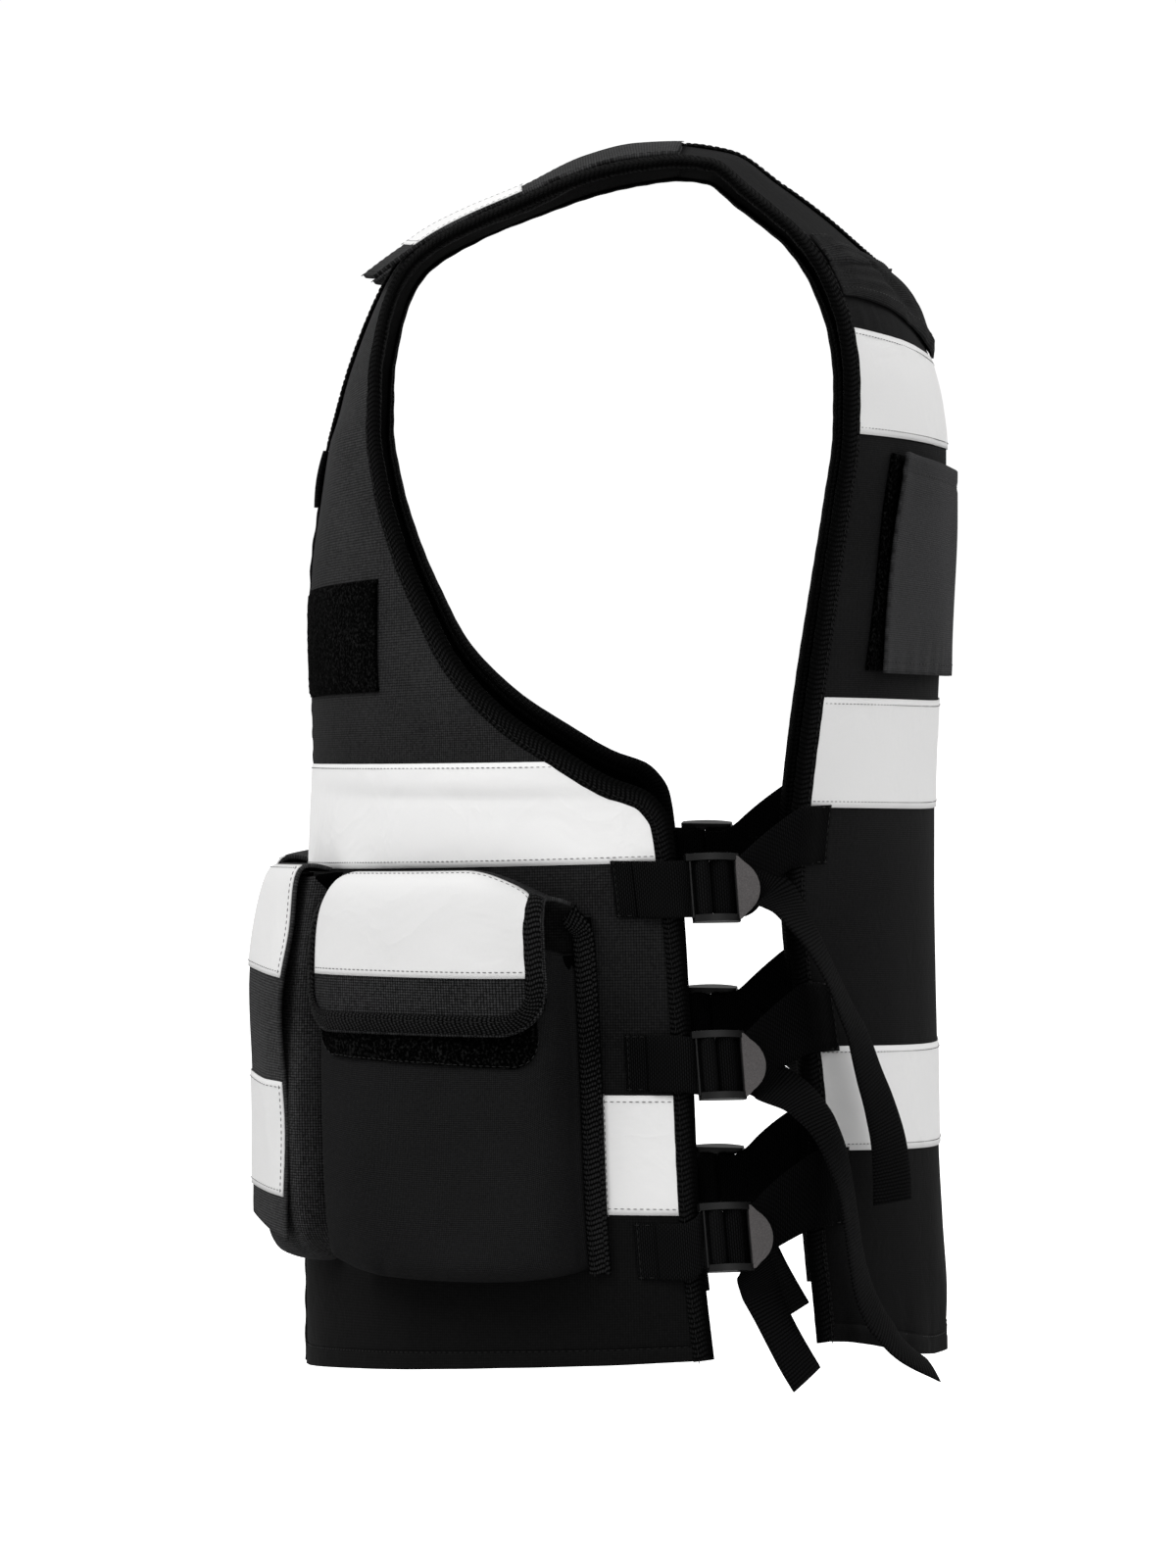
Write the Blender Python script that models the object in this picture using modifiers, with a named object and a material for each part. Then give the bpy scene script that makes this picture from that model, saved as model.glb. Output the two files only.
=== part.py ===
# Tactical vest in its worn form, as separate solids: two front panels, a back panel, bound edges,
# reflective tape, pouches, hook-and-loop fields, and side straps in ladder buckles.
# Metres, +Z up. The front faces -Y and the wearer's left is +X. The origin lies midway between
# the shoulder straps, just under them. Both halves are alike, so each shape is worked out for
# the left half and mirrored.

import math
from bisect import bisect_right
from collections import namedtuple
from functools import lru_cache

import bmesh
import bpy
from mathutils import Matrix, Vector

# Cloth and tape
PANEL_THICKNESS = 0.003
BINDING_WIDTH = 0.0085
BINDING_THICKNESS = 0.0036
BINDING_RISE = 0.0004
SEAM_GAP = 0.0005
SHOULDER_SEAM_GAP = 0.0008
LAYER_GAP = 0.0004
TAPE_THICKNESS = 0.001
PILE_THICKNESS = 0.0016
FLAP_THICKNESS = 0.0022
WEB_WIDTH = 0.025
WEB_THICKNESS = 0.0014
WEB_LIFT = 0.0017
ZIP_HALF_WIDTH = 0.0085
ZIP_THICKNESS = 0.002

# Panels are divided into this many facets from the inner to the outer edge of each half.
FACETS_ACROSS = 9
COLUMN_LINES = [column / FACETS_ACROSS for column in range(FACETS_ACROSS + 1)]

# One row for each section through the left half, from the front hem over the shoulder to the
# back hem. The inner end is the centre line or the neckline, the outer end the side edge or the
# armhole. lead and turn are the section's headings at its two ends, in degrees from +X.
Station = namedtuple("Station", "name inner_x inner_y inner_z outer_x outer_y outer_z lead turn")
STATIONS = [
    Station("front_hem", 0, -0.166, -0.530, 0.192, 0.0164, -0.5125, 0, 88),
    Station("front_low", 0, -0.166, -0.480, 0.192, 0.0123, -0.476, 0, 88),
    Station("front_440", 0, -0.1655, -0.440, 0.192, 0.0095, -0.440, 0, 88),
    Station("front_400", 0, -0.165, -0.400, 0.192, 0.0077, -0.397, 0, 88),
    Station("front_350", 0, -0.1645, -0.350, 0.192, 0.005, -0.345, 0, 88),
    Station("front_tape_low", 0, -0.1638, -0.307, 0.1915, 0.0002, -0.296, 0, 88),
    Station("front_side_top", 0, -0.1632, -0.288, 0.1905, -0.0026, -0.279, 0, 87),
    Station("front_corner", 0, -0.1628, -0.276, 0.1895, -0.012, -0.2665, 0, 84),
    Station("armhole_low", 0, -0.1625, -0.268, 0.1875, -0.029, -0.260, 0, 79),
    Station("front_tape_top", 0, -0.1623, -0.260, 0.183, -0.048, -0.249, 0, 71),
    Station("armhole_231", 0, -0.1626, -0.243, 0.172, -0.075, -0.231, 0, 59),
    Station("armhole_208", 0, -0.1633, -0.221, 0.1585, -0.0965, -0.208, 0, 50),
    Station("armhole_186", 0, -0.164, -0.199, 0.149, -0.108, -0.186, 0, 44),
    Station("armhole_161", 0, -0.1635, -0.174, 0.138, -0.119, -0.161, 0, 38),
    Station("armhole_132", 0, -0.160, -0.146, 0.125, -0.128, -0.132, 0, 32),
    Station("neck_point", 0, -0.1555, -0.118, 0.115, -0.132, -0.107, 0, 26),
    Station("neck_95", 0.020, -0.1495, -0.095, 0.111, -0.132, -0.086, 5, 20),
    Station("neck_71", 0.037, -0.141, -0.071, 0.1105, -0.1298, -0.068, 5, 14),
    Station("neck_50", 0.050, -0.131, -0.050, 0.114, -0.1255, -0.051, 3, 10),
    Station("strap_root", 0.058, -0.1235, -0.038, 0.1185, -0.1185, -0.038, 2, 8),
    Station("strap_bend", 0.063, -0.114, -0.0275, 0.1225, -0.110, -0.030, 1, 4),
    Station("strap_91", 0.067, -0.091, -0.0145, 0.1285, -0.091, -0.019, 0, 0),
    Station("strap_66", 0.070, -0.0665, -0.005, 0.133, -0.067, -0.0093, 0, 0),
    Station("strap_38", 0.0715, -0.038, 0.0088, 0.138, -0.038, 0.001, 0, 0),
    Station("strap_17", 0.072, -0.017, 0.014, 0.140, -0.016, 0.0057, 0, 0),
    Station("shoulder", 0.072, 0.003, 0.0148, 0.140, 0.001, 0.0078, 0, 0),
    Station("back_24", 0.072, 0.024, 0.0122, 0.140, 0.015, 0.0065, 0, 3),
    Station("back_46", 0.069, 0.046, -0.0018, 0.1403, 0.030, -0.005, 5, 15),
    Station("back_65", 0.060, 0.065, -0.016, 0.1408, 0.042, -0.0145, 9, 22),
    Station("back_79", 0.044, 0.079, -0.028, 0.1416, 0.050, -0.0215, 7, 26),
    Station("back_88", 0.023, 0.088, -0.0355, 0.143, 0.056, -0.029, 4, 29),
    Station("nape", 0, 0.091, -0.038, 0.1445, 0.062, -0.0385, 0, 31),
    Station("yoke_59", 0, 0.104, -0.059, 0.146, 0.068, -0.052, 0, 34),
    Station("upper_tape_top", 0, 0.114, -0.079, 0.1472, 0.072, -0.065, 0, 36),
    Station("back_99", 0, 0.119, -0.099, 0.1487, 0.0746, -0.088, 0, 38),
    Station("upper_tape_low", 0, 0.121, -0.119, 0.150, 0.0743, -0.111, 0, 39),
    Station("back_150", 0, 0.121, -0.150, 0.1535, 0.0702, -0.142, 0, 41),
    Station("back_190", 0, 0.1195, -0.190, 0.1615, 0.0635, -0.183, 0, 45),
    Station("middle_tape_top", 0, 0.1175, -0.231, 0.1685, 0.057, -0.225, 0, 48),
    Station("middle_tape_low", 0, 0.116, -0.279, 0.174, 0.051, -0.273, 0, 50),
    Station("back_315", 0, 0.116, -0.315, 0.177, 0.0484, -0.305, 0, 52),
    Station("back_352", 0, 0.1165, -0.352, 0.177, 0.0509, -0.345, 0, 52),
    Station("lower_tape_top", 0, 0.117, -0.383, 0.176, 0.055, -0.378, 0, 52),
    Station("lower_tape_low", 0, 0.1175, -0.429, 0.175, 0.0585, -0.423, 0, 52),
    Station("back_465", 0, 0.119, -0.465, 0.175, 0.0575, -0.457, 0, 52),
    Station("back_500", 0, 0.121, -0.500, 0.174, 0.0605, -0.488, 0, 52),
    Station("back_hem", 0, 0.1205, -0.518, 0.173, 0.0625, -0.507, 0, 52),
]

# Shoulder flap: it leaves the strap at this depth and runs on straight to its free end.
FLAP_LEAVES_Y = -0.112
FLAP_TIP_RUN = 0.027
SHOULDER_TAPE_PAST = 0.005
SHOULDER_TAPE_BACK_Y = -0.0665

# Chest patch
PATCH_WIDTH = 0.098
PATCH_HEIGHT = 0.050
PATCH_FLAT_HALF_WIDTH = 0.018
PATCH_CENTRE_X = 0.075
PATCH_CENTRE_Z = -0.205

# Chest tab
TAB_HALF_WIDTH = 0.0125
TAB_LOW_Z = -0.145
TAB_TOP_Z = -0.1195
TAB_LIFT = 0.0006
TAB_THICKNESS = 0.0026

# Front lower tape
LOWER_TAPE_FRONT_Y = -0.0325
LOWER_TAPE_LOW_Z = -0.4495
LOWER_TAPE_TOP_Z = -0.3975

# Main pouch: depth off the panel across its width and up its height
MAIN_FRONT_Y = -0.133
MAIN_SIDE_Y = -0.047
MAIN_FLANGE_Y = -0.0365
MAIN_DEPTH = 0.0265
Profile = namedtuple("Profile", "place rise")
MAIN_ACROSS = [
    Profile(0.0, 0.10),
    Profile(0.015, 0.62),
    Profile(0.07, 0.90),
    Profile(0.28, 1.0),
    Profile(0.72, 1.0),
    Profile(0.93, 0.90),
    Profile(0.985, 0.58),
    Profile(1.0, 0.10),
]
MAIN_UP = [
    Profile(-0.4775, 0.42),
    Profile(-0.4715, 0.84),
    Profile(-0.455, 1.0),
    Profile(-0.400, 1.02),
    Profile(-0.345, 0.95),
    Profile(-0.318, 0.86),
]
FLANGE_THICKNESS = 0.002

# Main pouch flap: distance off the panel down its height, and the overhang past the pouch
MAIN_FLAP_UP = [
    Profile(-0.296, 0.0019),
    Profile(-0.3005, 0.0125),
    Profile(-0.3045, 0.0235),
    Profile(-0.316, 0.0285),
    Profile(-0.345, 0.0297),
    Profile(-0.364, 0.0300),
    Profile(-0.3715, 0.0300),
]
MAIN_FLAP_FRONT_Y = -0.1375
MAIN_FLAP_SIDE_Y = -0.0515
MAIN_FLAP_END_DROP = 0.0035
MAIN_FLAP_TAPE_ROWS = (-0.349, -0.345, -0.316, -0.307)
MAIN_FLAP_SLANT = 1.1
MAIN_FLAP_TILT = 0.004
MAIN_PILE_LOW_Z = -0.385
MAIN_PILE_TOP_Z = -0.366
MAIN_PILE_FRONT_Y = -0.1255
MAIN_PILE_SIDE_Y = -0.056

# Slim pouch and its long flap
SLIM_CENTRE_SIDE_X = 0.043
SLIM_OUTER_SIDE_X = 0.090
SLIM_ACROSS = [
    Profile(0.0, 0.10),
    Profile(0.02, 0.72),
    Profile(0.10, 0.95),
    Profile(0.5, 1.0),
    Profile(0.90, 0.95),
    Profile(0.98, 0.72),
    Profile(1.0, 0.10),
]
SLIM_UP = [
    Profile(-0.4765, 0.0130),
    Profile(-0.4690, 0.0235),
    Profile(-0.4450, 0.0270),
    Profile(-0.4000, 0.0270),
    Profile(-0.3500, 0.0225),
    Profile(-0.3100, 0.0160),
]
SLIM_FLAP_UP = [
    Profile(-0.2925, 0.0019),
    Profile(-0.2965, 0.0100),
    Profile(-0.3010, 0.0185),
    Profile(-0.3500, 0.0250),
    Profile(-0.3960, 0.0293),
    Profile(-0.4450, 0.0298),
    Profile(-0.4580, 0.0300),
    Profile(-0.4680, 0.0285),
]
SLIM_TAPES = [("upper", -0.349, -0.302), ("lower", -0.445, -0.396)]

# Upper back strip: distance off the panel at each facet line from the centre to the armhole. It
# is sewn down at the fourth line and at its ends.
YOKE_LIFTS = [0.0085, 0.0085, 0.0075, 0.0050, 0.0020, 0.0034, 0.0044, 0.0044, 0.0030, 0.0007]
YOKE_THICKNESS = 0.0018
YOKE_EDGE_MARGIN = 0.0015
YOKE_PUFF = 0.0012
YOKE_STEPS = 4

# Back field and panel
ID_TOP_Z = -0.125
ID_LOW_Z = -0.220
ID_HALF_WIDTH = 0.125
ID_FLAT_HALF_WIDTH = 0.030
ID_PILE_HALF_WIDTH = 0.131
ID_LIFT = 0.0032
ID_THICKNESS = 0.0018

# Side straps: heights of the buckles and of the sewn rear ends, and lengths on the panels
Strap = namedtuple("Strap", "buckle_z rear_z front_run rear_run")
STRAPS = [
    Strap(-0.3112, -0.2875, 0.032, 0.0215),
    Strap(-0.3845, -0.3645, 0.027, 0.0200),
    Strap(-0.4630, -0.4400, 0.026, 0.0200),
]
# How each strap leaves its buckle: length along the frame, drop, and turn in its own plane.
Exit = namedtuple("Exit", "length drop turn")
EXITS = [
    [Exit(0.0210, 0, 0), Exit(0.0265, 0, 0), Exit(0.0325, 0.0003, 0)],
    [Exit(0.0210, 0, 0), Exit(0.0265, 0, 0), Exit(0.0330, 0.0003, 0), Exit(0.0365, 0.0016, 20)],
    [Exit(0.0175, 0.0125, 35), Exit(0.0205, 0.0195, 63)],
]
# Tails after the buckle: centre line and roll. A roll of 0 turns the webbing's face sideways.
Tail = namedtuple("Tail", "x y z roll")
TAILS = [
    [
        Tail(0.1855, 0.0440, -0.3135, 14),
        Tail(0.1895, 0.0515, -0.3208, 38),
        Tail(0.1905, 0.0583, -0.3322, 55),
        Tail(0.1885, 0.0689, -0.3521, 62),
        Tail(0.1855, 0.0773, -0.3720, 60),
        Tail(0.1825, 0.0832, -0.3864, 56),
        Tail(0.1790, 0.0892, -0.4054, 52),
        Tail(0.1760, 0.0926, -0.4279, 47),
        Tail(0.1740, 0.0951, -0.4453, 45),
    ],
    [
        Tail(0.1850, 0.0480, -0.3950, 10),
        Tail(0.1900, 0.0560, -0.4029, 38),
        Tail(0.1905, 0.0633, -0.4114, 55),
        Tail(0.1890, 0.0722, -0.4230, 65),
        Tail(0.1865, 0.0748, -0.4380, 72),
        Tail(0.1830, 0.0782, -0.4635, 72),
        Tail(0.1795, 0.0841, -0.4880, 66),
        Tail(0.1755, 0.0934, -0.5030, 70),
        Tail(0.1710, 0.1014, -0.5117, 76),
        Tail(0.1660, 0.1107, -0.5198, 82),
    ],
    [
        Tail(0.1870, 0.0390, -0.4915, 16),
        Tail(0.1885, 0.0430, -0.4990, 34),
        Tail(0.1885, 0.0488, -0.5079, 48),
        Tail(0.1870, 0.0569, -0.5210, 52),
    ],
]
TAIL_STEPS = 2

# Buckle, seen from outside: lengths run from its front edge towards the back
BUCKLE_HEIGHT = 0.032
BUCKLE_THICKNESS = 0.0032
BUCKLE_WINDOW_HEIGHT = 0.0264
BUCKLE_BODY_LENGTH = 0.021
BUCKLE_TAB_LENGTH = 0.0105
BUCKLE_TAB_HEIGHT = 0.0275
BUCKLE_WINDOWS = [(0.0036, 0.0100), (0.0132, 0.0154)]
BUCKLE_EDGE_GAP = 0.003
BUCKLE_BOTTOM = 0.001
TAB_ARC_STEPS = 8
LOWER_LAYER = 0.0
LOAD_LAYER = -0.002
LOAD_SAG = -0.0035
LOAD_SAG_LENGTH = 0.034
UPPER_LAYER = 0.0053
FIXED_RISE = 0.0047
LOAD_RISE = 0.0090
LOAD_FALL = 0.0143
CORNER_CUT = 0.0005

# Colours: red, green, blue, then roughness
LOOKS = {
    "polyester": (0.020, 0.020, 0.021, 0.85),
    "binding": (0.012, 0.012, 0.012, 0.80),
    "reflective": (0.80, 0.80, 0.79, 0.45),
    "loop_pile": (0.008, 0.008, 0.008, 0.95),
    "webbing": (0.010, 0.010, 0.010, 0.80),
    "buckle_plastic": (0.015, 0.015, 0.016, 0.30),
}


def pchip_slopes(knots, values):
    """Slopes that keep the curve through the values free of overshoot."""
    steps = [b - a for a, b in zip(knots, knots[1:])]
    rates = [(b - a) / step for a, b, step in zip(values, values[1:], steps)]
    slopes = [rates[0]]
    for before, after in zip(rates, rates[1:]):
        slopes.append(0.0 if before * after <= 0 else 2 * before * after / (before + after))
    return slopes + [rates[-1]]


class HalfShell:
    """Outer face of the left half, read by place across (0 to 1) and length along."""

    def __init__(self, stations):
        self.names = [row.name for row in stations]
        rows = [row[1:] for row in stations]
        middles = [(Vector(row[0:3]) + Vector(row[3:6])) / 2 for row in rows]
        self.knots = [0.0]
        for a, b in zip(middles, middles[1:]):
            self.knots.append(self.knots[-1] + (b - a).length)
        self.columns = list(zip(*rows))
        self.slopes = [pchip_slopes(self.knots, column) for column in self.columns]
        self.shoulder = self.at("shoulder")

    def at(self, name):
        return self.knots[self.names.index(name)]

    def between(self, first, last):
        """Lengths of the stations from first to last."""
        low = self.names.index(first)
        high = self.names.index(last)
        return self.knots[low : high + 1]

    @lru_cache(maxsize=None)
    def row(self, along):
        index = min(max(bisect_right(self.knots, along) - 1, 0), len(self.knots) - 2)
        step = self.knots[index + 1] - self.knots[index]
        s = (along - self.knots[index]) / step
        found = []
        for values, slopes in zip(self.columns, self.slopes):
            a, b = values[index], values[index + 1]
            da, db = slopes[index] * step, slopes[index + 1] * step
            if s < 0:
                found.append(a + da * s)
            elif s > 1:
                found.append(b + db * (s - 1))
            else:
                found.append(
                    a * (1 + 2 * s) * (1 - s) ** 2
                    + b * s * s * (3 - 2 * s)
                    + da * s * (1 - s) ** 2
                    + db * s * s * (s - 1)
                )
        return found

    def edge(self, side, along):
        row = self.row(along)
        return Vector(row[0:3]) if side == "inner" else Vector(row[3:6])

    def heading(self, side, along):
        """Direction of the section at one end, level, towards the outer edge."""
        row = self.row(along)
        angle = math.radians(row[6] if side == "inner" else row[7])
        turn_to = 1 if along < self.shoulder else -1
        return Vector((math.cos(angle), turn_to * math.sin(angle), 0))

    @lru_cache(maxsize=None)
    def inset(self, side, along, width):
        """The point this width inside the edge, square to it and in the cloth."""
        reach = 0.002
        low = max(along - reach, 0)
        high = min(along + reach, self.knots[-1])
        run = (self.edge(side, high) - self.edge(side, low)).normalized()
        if side == "inner" and along == self.at("nape"):
            run = Vector((-1, 0, 0))
        middles = [self.edge("inner", part) + self.edge("outer", part) for part in (low, high)]
        over = self.heading(side, along)
        row = self.row(along)
        over.z = (row[5] - row[2]) / math.dist(row[0:3], row[3:6])
        out = over.cross(middles[1] - middles[0]).normalized()
        inward = run.cross(out) if side == "inner" else out.cross(run)
        return self.edge(side, along) + inward.normalized() * width

    def panel_start(self, along):
        """Where the panel begins: past the binding or zip, and on the centre line below the nape."""
        nape, below = self.at("nape"), self.at("yoke_59")
        if along >= below:
            return self.edge("inner", along)
        width = BINDING_WIDTH + SEAM_GAP
        if along < nape:
            return self.inset("inner", along, width)
        first = self.inset("inner", nape, width)
        first.x = 0
        return first.lerp(self.edge("inner", below), (along - nape) / (below - nape))

    @lru_cache(maxsize=None)
    def section(self, along):
        """Points along the panel's section, with their lengths."""
        first = self.panel_start(along)
        last = self.inset("outer", along, BINDING_WIDTH + SEAM_GAP)
        chord = last - first
        turn = self.row(along)[7]
        reach = chord.length * (1 / 3 + 0.057 * (turn / 90) ** 2)
        start = self.heading("inner", along) * reach
        end = self.heading("outer", along) * reach
        start.z = end.z = chord.z / 3
        steps = 24
        points = []
        for step in range(steps + 1):
            s = step / steps
            points.append(
                first * (1 - s) ** 3
                + (first + start) * 3 * s * (1 - s) ** 2
                + (last - end) * 3 * s * s * (1 - s)
                + last * s**3
            )
        lengths = [0.0]
        for a, b in zip(points, points[1:]):
            lengths.append(lengths[-1] + (b - a).length)
        return points, lengths

    def width(self, along):
        return self.section(along)[1][-1]

    @lru_cache(maxsize=None)
    def point(self, across, along):
        points, lengths = self.section(along)
        goal = across * lengths[-1]
        index = min(max(bisect_right(lengths, goal) - 1, 0), len(points) - 2)
        s = (goal - lengths[index]) / (lengths[index + 1] - lengths[index])
        return points[index].lerp(points[index + 1], s)

    @lru_cache(maxsize=None)
    def normal(self, across, along):
        low = max(along - 0.002, 0)
        high = min(along + 0.002, self.knots[-1])
        left = max(across - 0.02, 0)
        right = min(across + 0.02, 1)
        over = self.point(right, along) - self.point(left, along)
        up = self.point(across, high) - self.point(across, low)
        found = over.cross(up).normalized()
        if across == 0 and along >= self.at("nape"):
            found.x = 0
        return found.normalized()

    def lifted(self, across, along, lift):
        """A point off the faceted face, level with the facets' own edges."""
        index = min(int(across * FACETS_ACROSS), FACETS_ACROSS - 1)
        s = across * FACETS_ACROSS - index
        ends = []
        for line in (COLUMN_LINES[index], COLUMN_LINES[index + 1]):
            ends.append(self.point(line, along) + self.normal(line, along) * lift)
        return ends[0].lerp(ends[1], s)

    def from_edge(self, side, along, distance, lift):
        """A point this far in from an edge, over the binding or the panel beyond it."""
        margin = BINDING_WIDTH + SEAM_GAP
        end = 0.0 if side == "inner" else 1.0
        if distance >= margin:
            part = (distance - margin) / self.width(along)
            return self.lifted(part if side == "inner" else 1 - part, along, lift)
        return self.inset(side, along, distance) + self.normal(end, along) * lift

    def along_at(self, side, height, first, last):
        """Length at which an edge has this height, between two stations."""
        low = self.at(first)
        high = self.at(last)
        rising = self.edge(side, high).z > self.edge(side, low).z
        for _ in range(40):
            middle = (low + high) / 2
            if (self.edge(side, middle).z < height) == rising:
                low = middle
            else:
                high = middle
        return (low + high) / 2

    def across_at(self, axis, value, along):
        """Place across at which the face has this x or y."""
        low, high = 0.0, 1.0
        rising = self.point(1.0, along)[axis] > self.point(0.0, along)[axis]
        for _ in range(40):
            middle = (low + high) / 2
            if (self.point(middle, along)[axis] < value) == rising:
                low = middle
            else:
                high = middle
        return (low + high) / 2


def clear_scene():
    for obj in list(bpy.data.objects):
        bpy.data.objects.remove(obj, do_unlink=True)


def make_looks():
    made = {}
    for name, (red, green, blue, roughness) in LOOKS.items():
        material = bpy.data.materials.new(name)
        material.use_nodes = True
        shader = material.node_tree.nodes["Principled BSDF"]
        shader.inputs["Base Color"].default_value = (red, green, blue, 1)
        shader.inputs["Roughness"].default_value = roughness
        made[name] = material
    return made


def add_object(name, data, look):
    obj = bpy.data.objects.new(name, data)
    data.materials.append(MATERIALS[look])
    PARTS.objects.link(obj)
    return obj


def span(first, last, extra=()):
    """Places from first to last, with the facet lines and any extra places between them."""
    inside = [line for line in (*COLUMN_LINES, *extra) if first + 0.004 < line < last - 0.004]
    return [first, *sorted(set(inside)), last]


def read(profile, place):
    """The profile's value at a place, by straight lines between its rows."""
    rows = sorted(profile)
    if place <= rows[0].place:
        return rows[0].rise
    for a, b in zip(rows, rows[1:]):
        if place <= b.place:
            return a.rise + (b.rise - a.rise) * (place - a.place) / (b.place - a.place)
    return rows[-1].rise


def mirrored(point, side):
    return Vector((point.x * side, point.y, point.z))


def face_grid(name, rows, side=1):
    """An open mesh of quads through rows of points, facing out on either side."""
    across = len(rows[0]) - 1
    up = len(rows) - 1
    shape = bmesh.new()
    bmesh.ops.create_grid(shape, x_segments=across, y_segments=up, size=1)
    for vert in shape.verts:
        column = round((vert.co.x + 1) / 2 * across)
        row = round((vert.co.y + 1) / 2 * up)
        vert.co = mirrored(rows[row][column], side)
    if side < 0:
        bmesh.ops.reverse_faces(shape, faces=shape.faces)
    mesh = bpy.data.meshes.new(name)
    shape.to_mesh(mesh)
    shape.free()
    return mesh


def cloth(name, rows, thickness, offset, look, side=1, whole=False, even=False):
    """Cloth on a grid. offset is -1 for inward, 1 for outward, 0 for both. even keeps sharp bends full."""
    obj = add_object(name, face_grid(name, rows, side), look)
    if whole:
        halves = obj.modifiers.new("halves", "MIRROR")
        halves.merge_threshold = 0.0001
    wall = obj.modifiers.new("wall", "SOLIDIFY")
    wall.thickness = thickness
    wall.offset = offset
    wall.use_even_offset = even
    return obj


def pad(name, outer, inner, look, side=1, whole=False):
    """A closed body between two grids of points with the same rows and columns."""
    up = len(outer)
    across = len(outer[0])
    points = [mirrored(point, side) for grid in (outer, inner) for row in grid for point in row]
    base = up * across
    faces = []
    for row in range(up - 1):
        for column in range(across - 1):
            a = row * across + column
            quad = (a, a + 1, a + across + 1, a + across)
            faces.append(quad)
            faces.append(tuple(base + corner for corner in reversed(quad)))
    rim = [column for column in range(across)]
    rim += [row * across + across - 1 for row in range(1, up)]
    rim += [(up - 1) * across + column for column in range(across - 2, -1, -1)]
    rim += [row * across for row in range(up - 2, 0, -1)]
    for a, b in zip(rim, rim[1:] + rim[:1]):
        if not (whole and points[a].x == 0 and points[b].x == 0):
            faces.append((b, a, base + a, base + b))
    if side < 0:
        faces = [tuple(reversed(face)) for face in faces]
    mesh = bpy.data.meshes.new(name)
    mesh.from_pydata(points, [], faces)
    obj = add_object(name, mesh, look)
    if whole:
        halves = obj.modifiers.new("halves", "MIRROR")
        halves.merge_threshold = 0.0001
    return obj


def sheet_rows(alongs, acrosses, lift):
    return [[SHELL.lifted(across, along, lift) for across in acrosses] for along in alongs]


def make_panels():
    shoulder_gap = Vector((0, SHOULDER_SEAM_GAP, 0))
    front = []
    back = []
    for lift in (0, -PANEL_THICKNESS):
        rows = sheet_rows(SHELL.between("front_hem", "shoulder"), COLUMN_LINES, lift)
        rows[-1] = [point - shoulder_gap for point in rows[-1]]
        front.append(rows)
        rows = sheet_rows(SHELL.between("shoulder", "back_hem"), COLUMN_LINES, lift)
        rows[0] = [point + shoulder_gap for point in rows[0]]
        back.append(rows)
    for side, word in SIDES:
        pad(f"front_panel_{word}", *front, "polyester", side)
    # The back panel is one solid: its straps rise from a yoke that is whole below the nape.
    pad("back_panel", *back, "polyester", whole=True)


def binding_rows(side, alongs, lift):
    rows = []
    for along in alongs:
        edge = SHELL.from_edge(side, along, 0.0, lift)
        inner = SHELL.from_edge(side, along, BINDING_WIDTH, lift)
        rows.append([edge, inner] if side == "inner" else [inner, edge])
    return rows


def make_bindings():
    edge_lengths = SHELL.between("front_hem", "back_hem")
    neck_lengths = SHELL.between("neck_point", "nape")
    outer = []
    neck = []
    for lift in (BINDING_RISE, BINDING_RISE - BINDING_THICKNESS):
        outer.append(binding_rows("outer", edge_lengths, lift))
        rows = binding_rows("inner", neck_lengths, lift)
        rows[0][0].x = SEAM_GAP / 2
        for point in rows[-1]:
            point.x = 0
        neck.append(rows)
    for side, word in SIDES:
        pad(f"side_binding_{word}", *outer, "binding", side)
    pad("neck_binding", *neck, "binding", whole=True)


def make_front_closure():
    rows = []
    for along in SHELL.between("front_hem", "armhole_132"):
        rows.append([SHELL.from_edge("inner", along, part, -0.0003) for part in (0.0, ZIP_HALF_WIDTH)])
    last = SHELL.along_at("inner", -0.128, "armhole_132", "neck_point")
    rows.append([SHELL.from_edge("inner", last, part, -0.0003) for part in (0.0, ZIP_HALF_WIDTH)])
    cloth("front_zip", rows, ZIP_THICKNESS, -1, "polyester", whole=True)
    tab = []
    for height in (TAB_LOW_Z, TAB_TOP_Z):
        along = SHELL.along_at("inner", height, "armhole_161", "neck_point")
        tab.append([SHELL.from_edge("inner", along, part, TAB_LIFT) for part in (0.0, TAB_HALF_WIDTH)])
    cloth("chest_tab", tab, TAB_THICKNESS, 1, "webbing", whole=True)


def make_tapes():
    front = SHELL.between("front_tape_low", "front_tape_top")
    whole_width = sheet_rows(front, COLUMN_LINES, LAYER_GAP)
    low = SHELL.along_at("outer", LOWER_TAPE_LOW_Z, "front_hem", "front_tape_low")
    top = SHELL.along_at("outer", LOWER_TAPE_TOP_Z, "front_hem", "front_tape_low")
    start = SHELL.across_at(1, LOWER_TAPE_FRONT_Y, (low + top) / 2)
    side_piece = sheet_rows((low, top), span(start, 1.0), LAYER_GAP)
    for side, word in SIDES:
        cloth(f"front_upper_tape_{word}", whole_width, TAPE_THICKNESS, 1, "reflective", side)
        cloth(f"front_lower_tape_{word}", side_piece, TAPE_THICKNESS, 1, "reflective", side)
    for word in ("upper", "middle", "lower"):
        alongs = SHELL.between(f"{word}_tape_top", f"{word}_tape_low")
        rows = sheet_rows(alongs, COLUMN_LINES, LAYER_GAP)
        cloth(f"back_{word}_tape", rows, TAPE_THICKNESS, 1, "reflective", whole=True)


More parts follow.
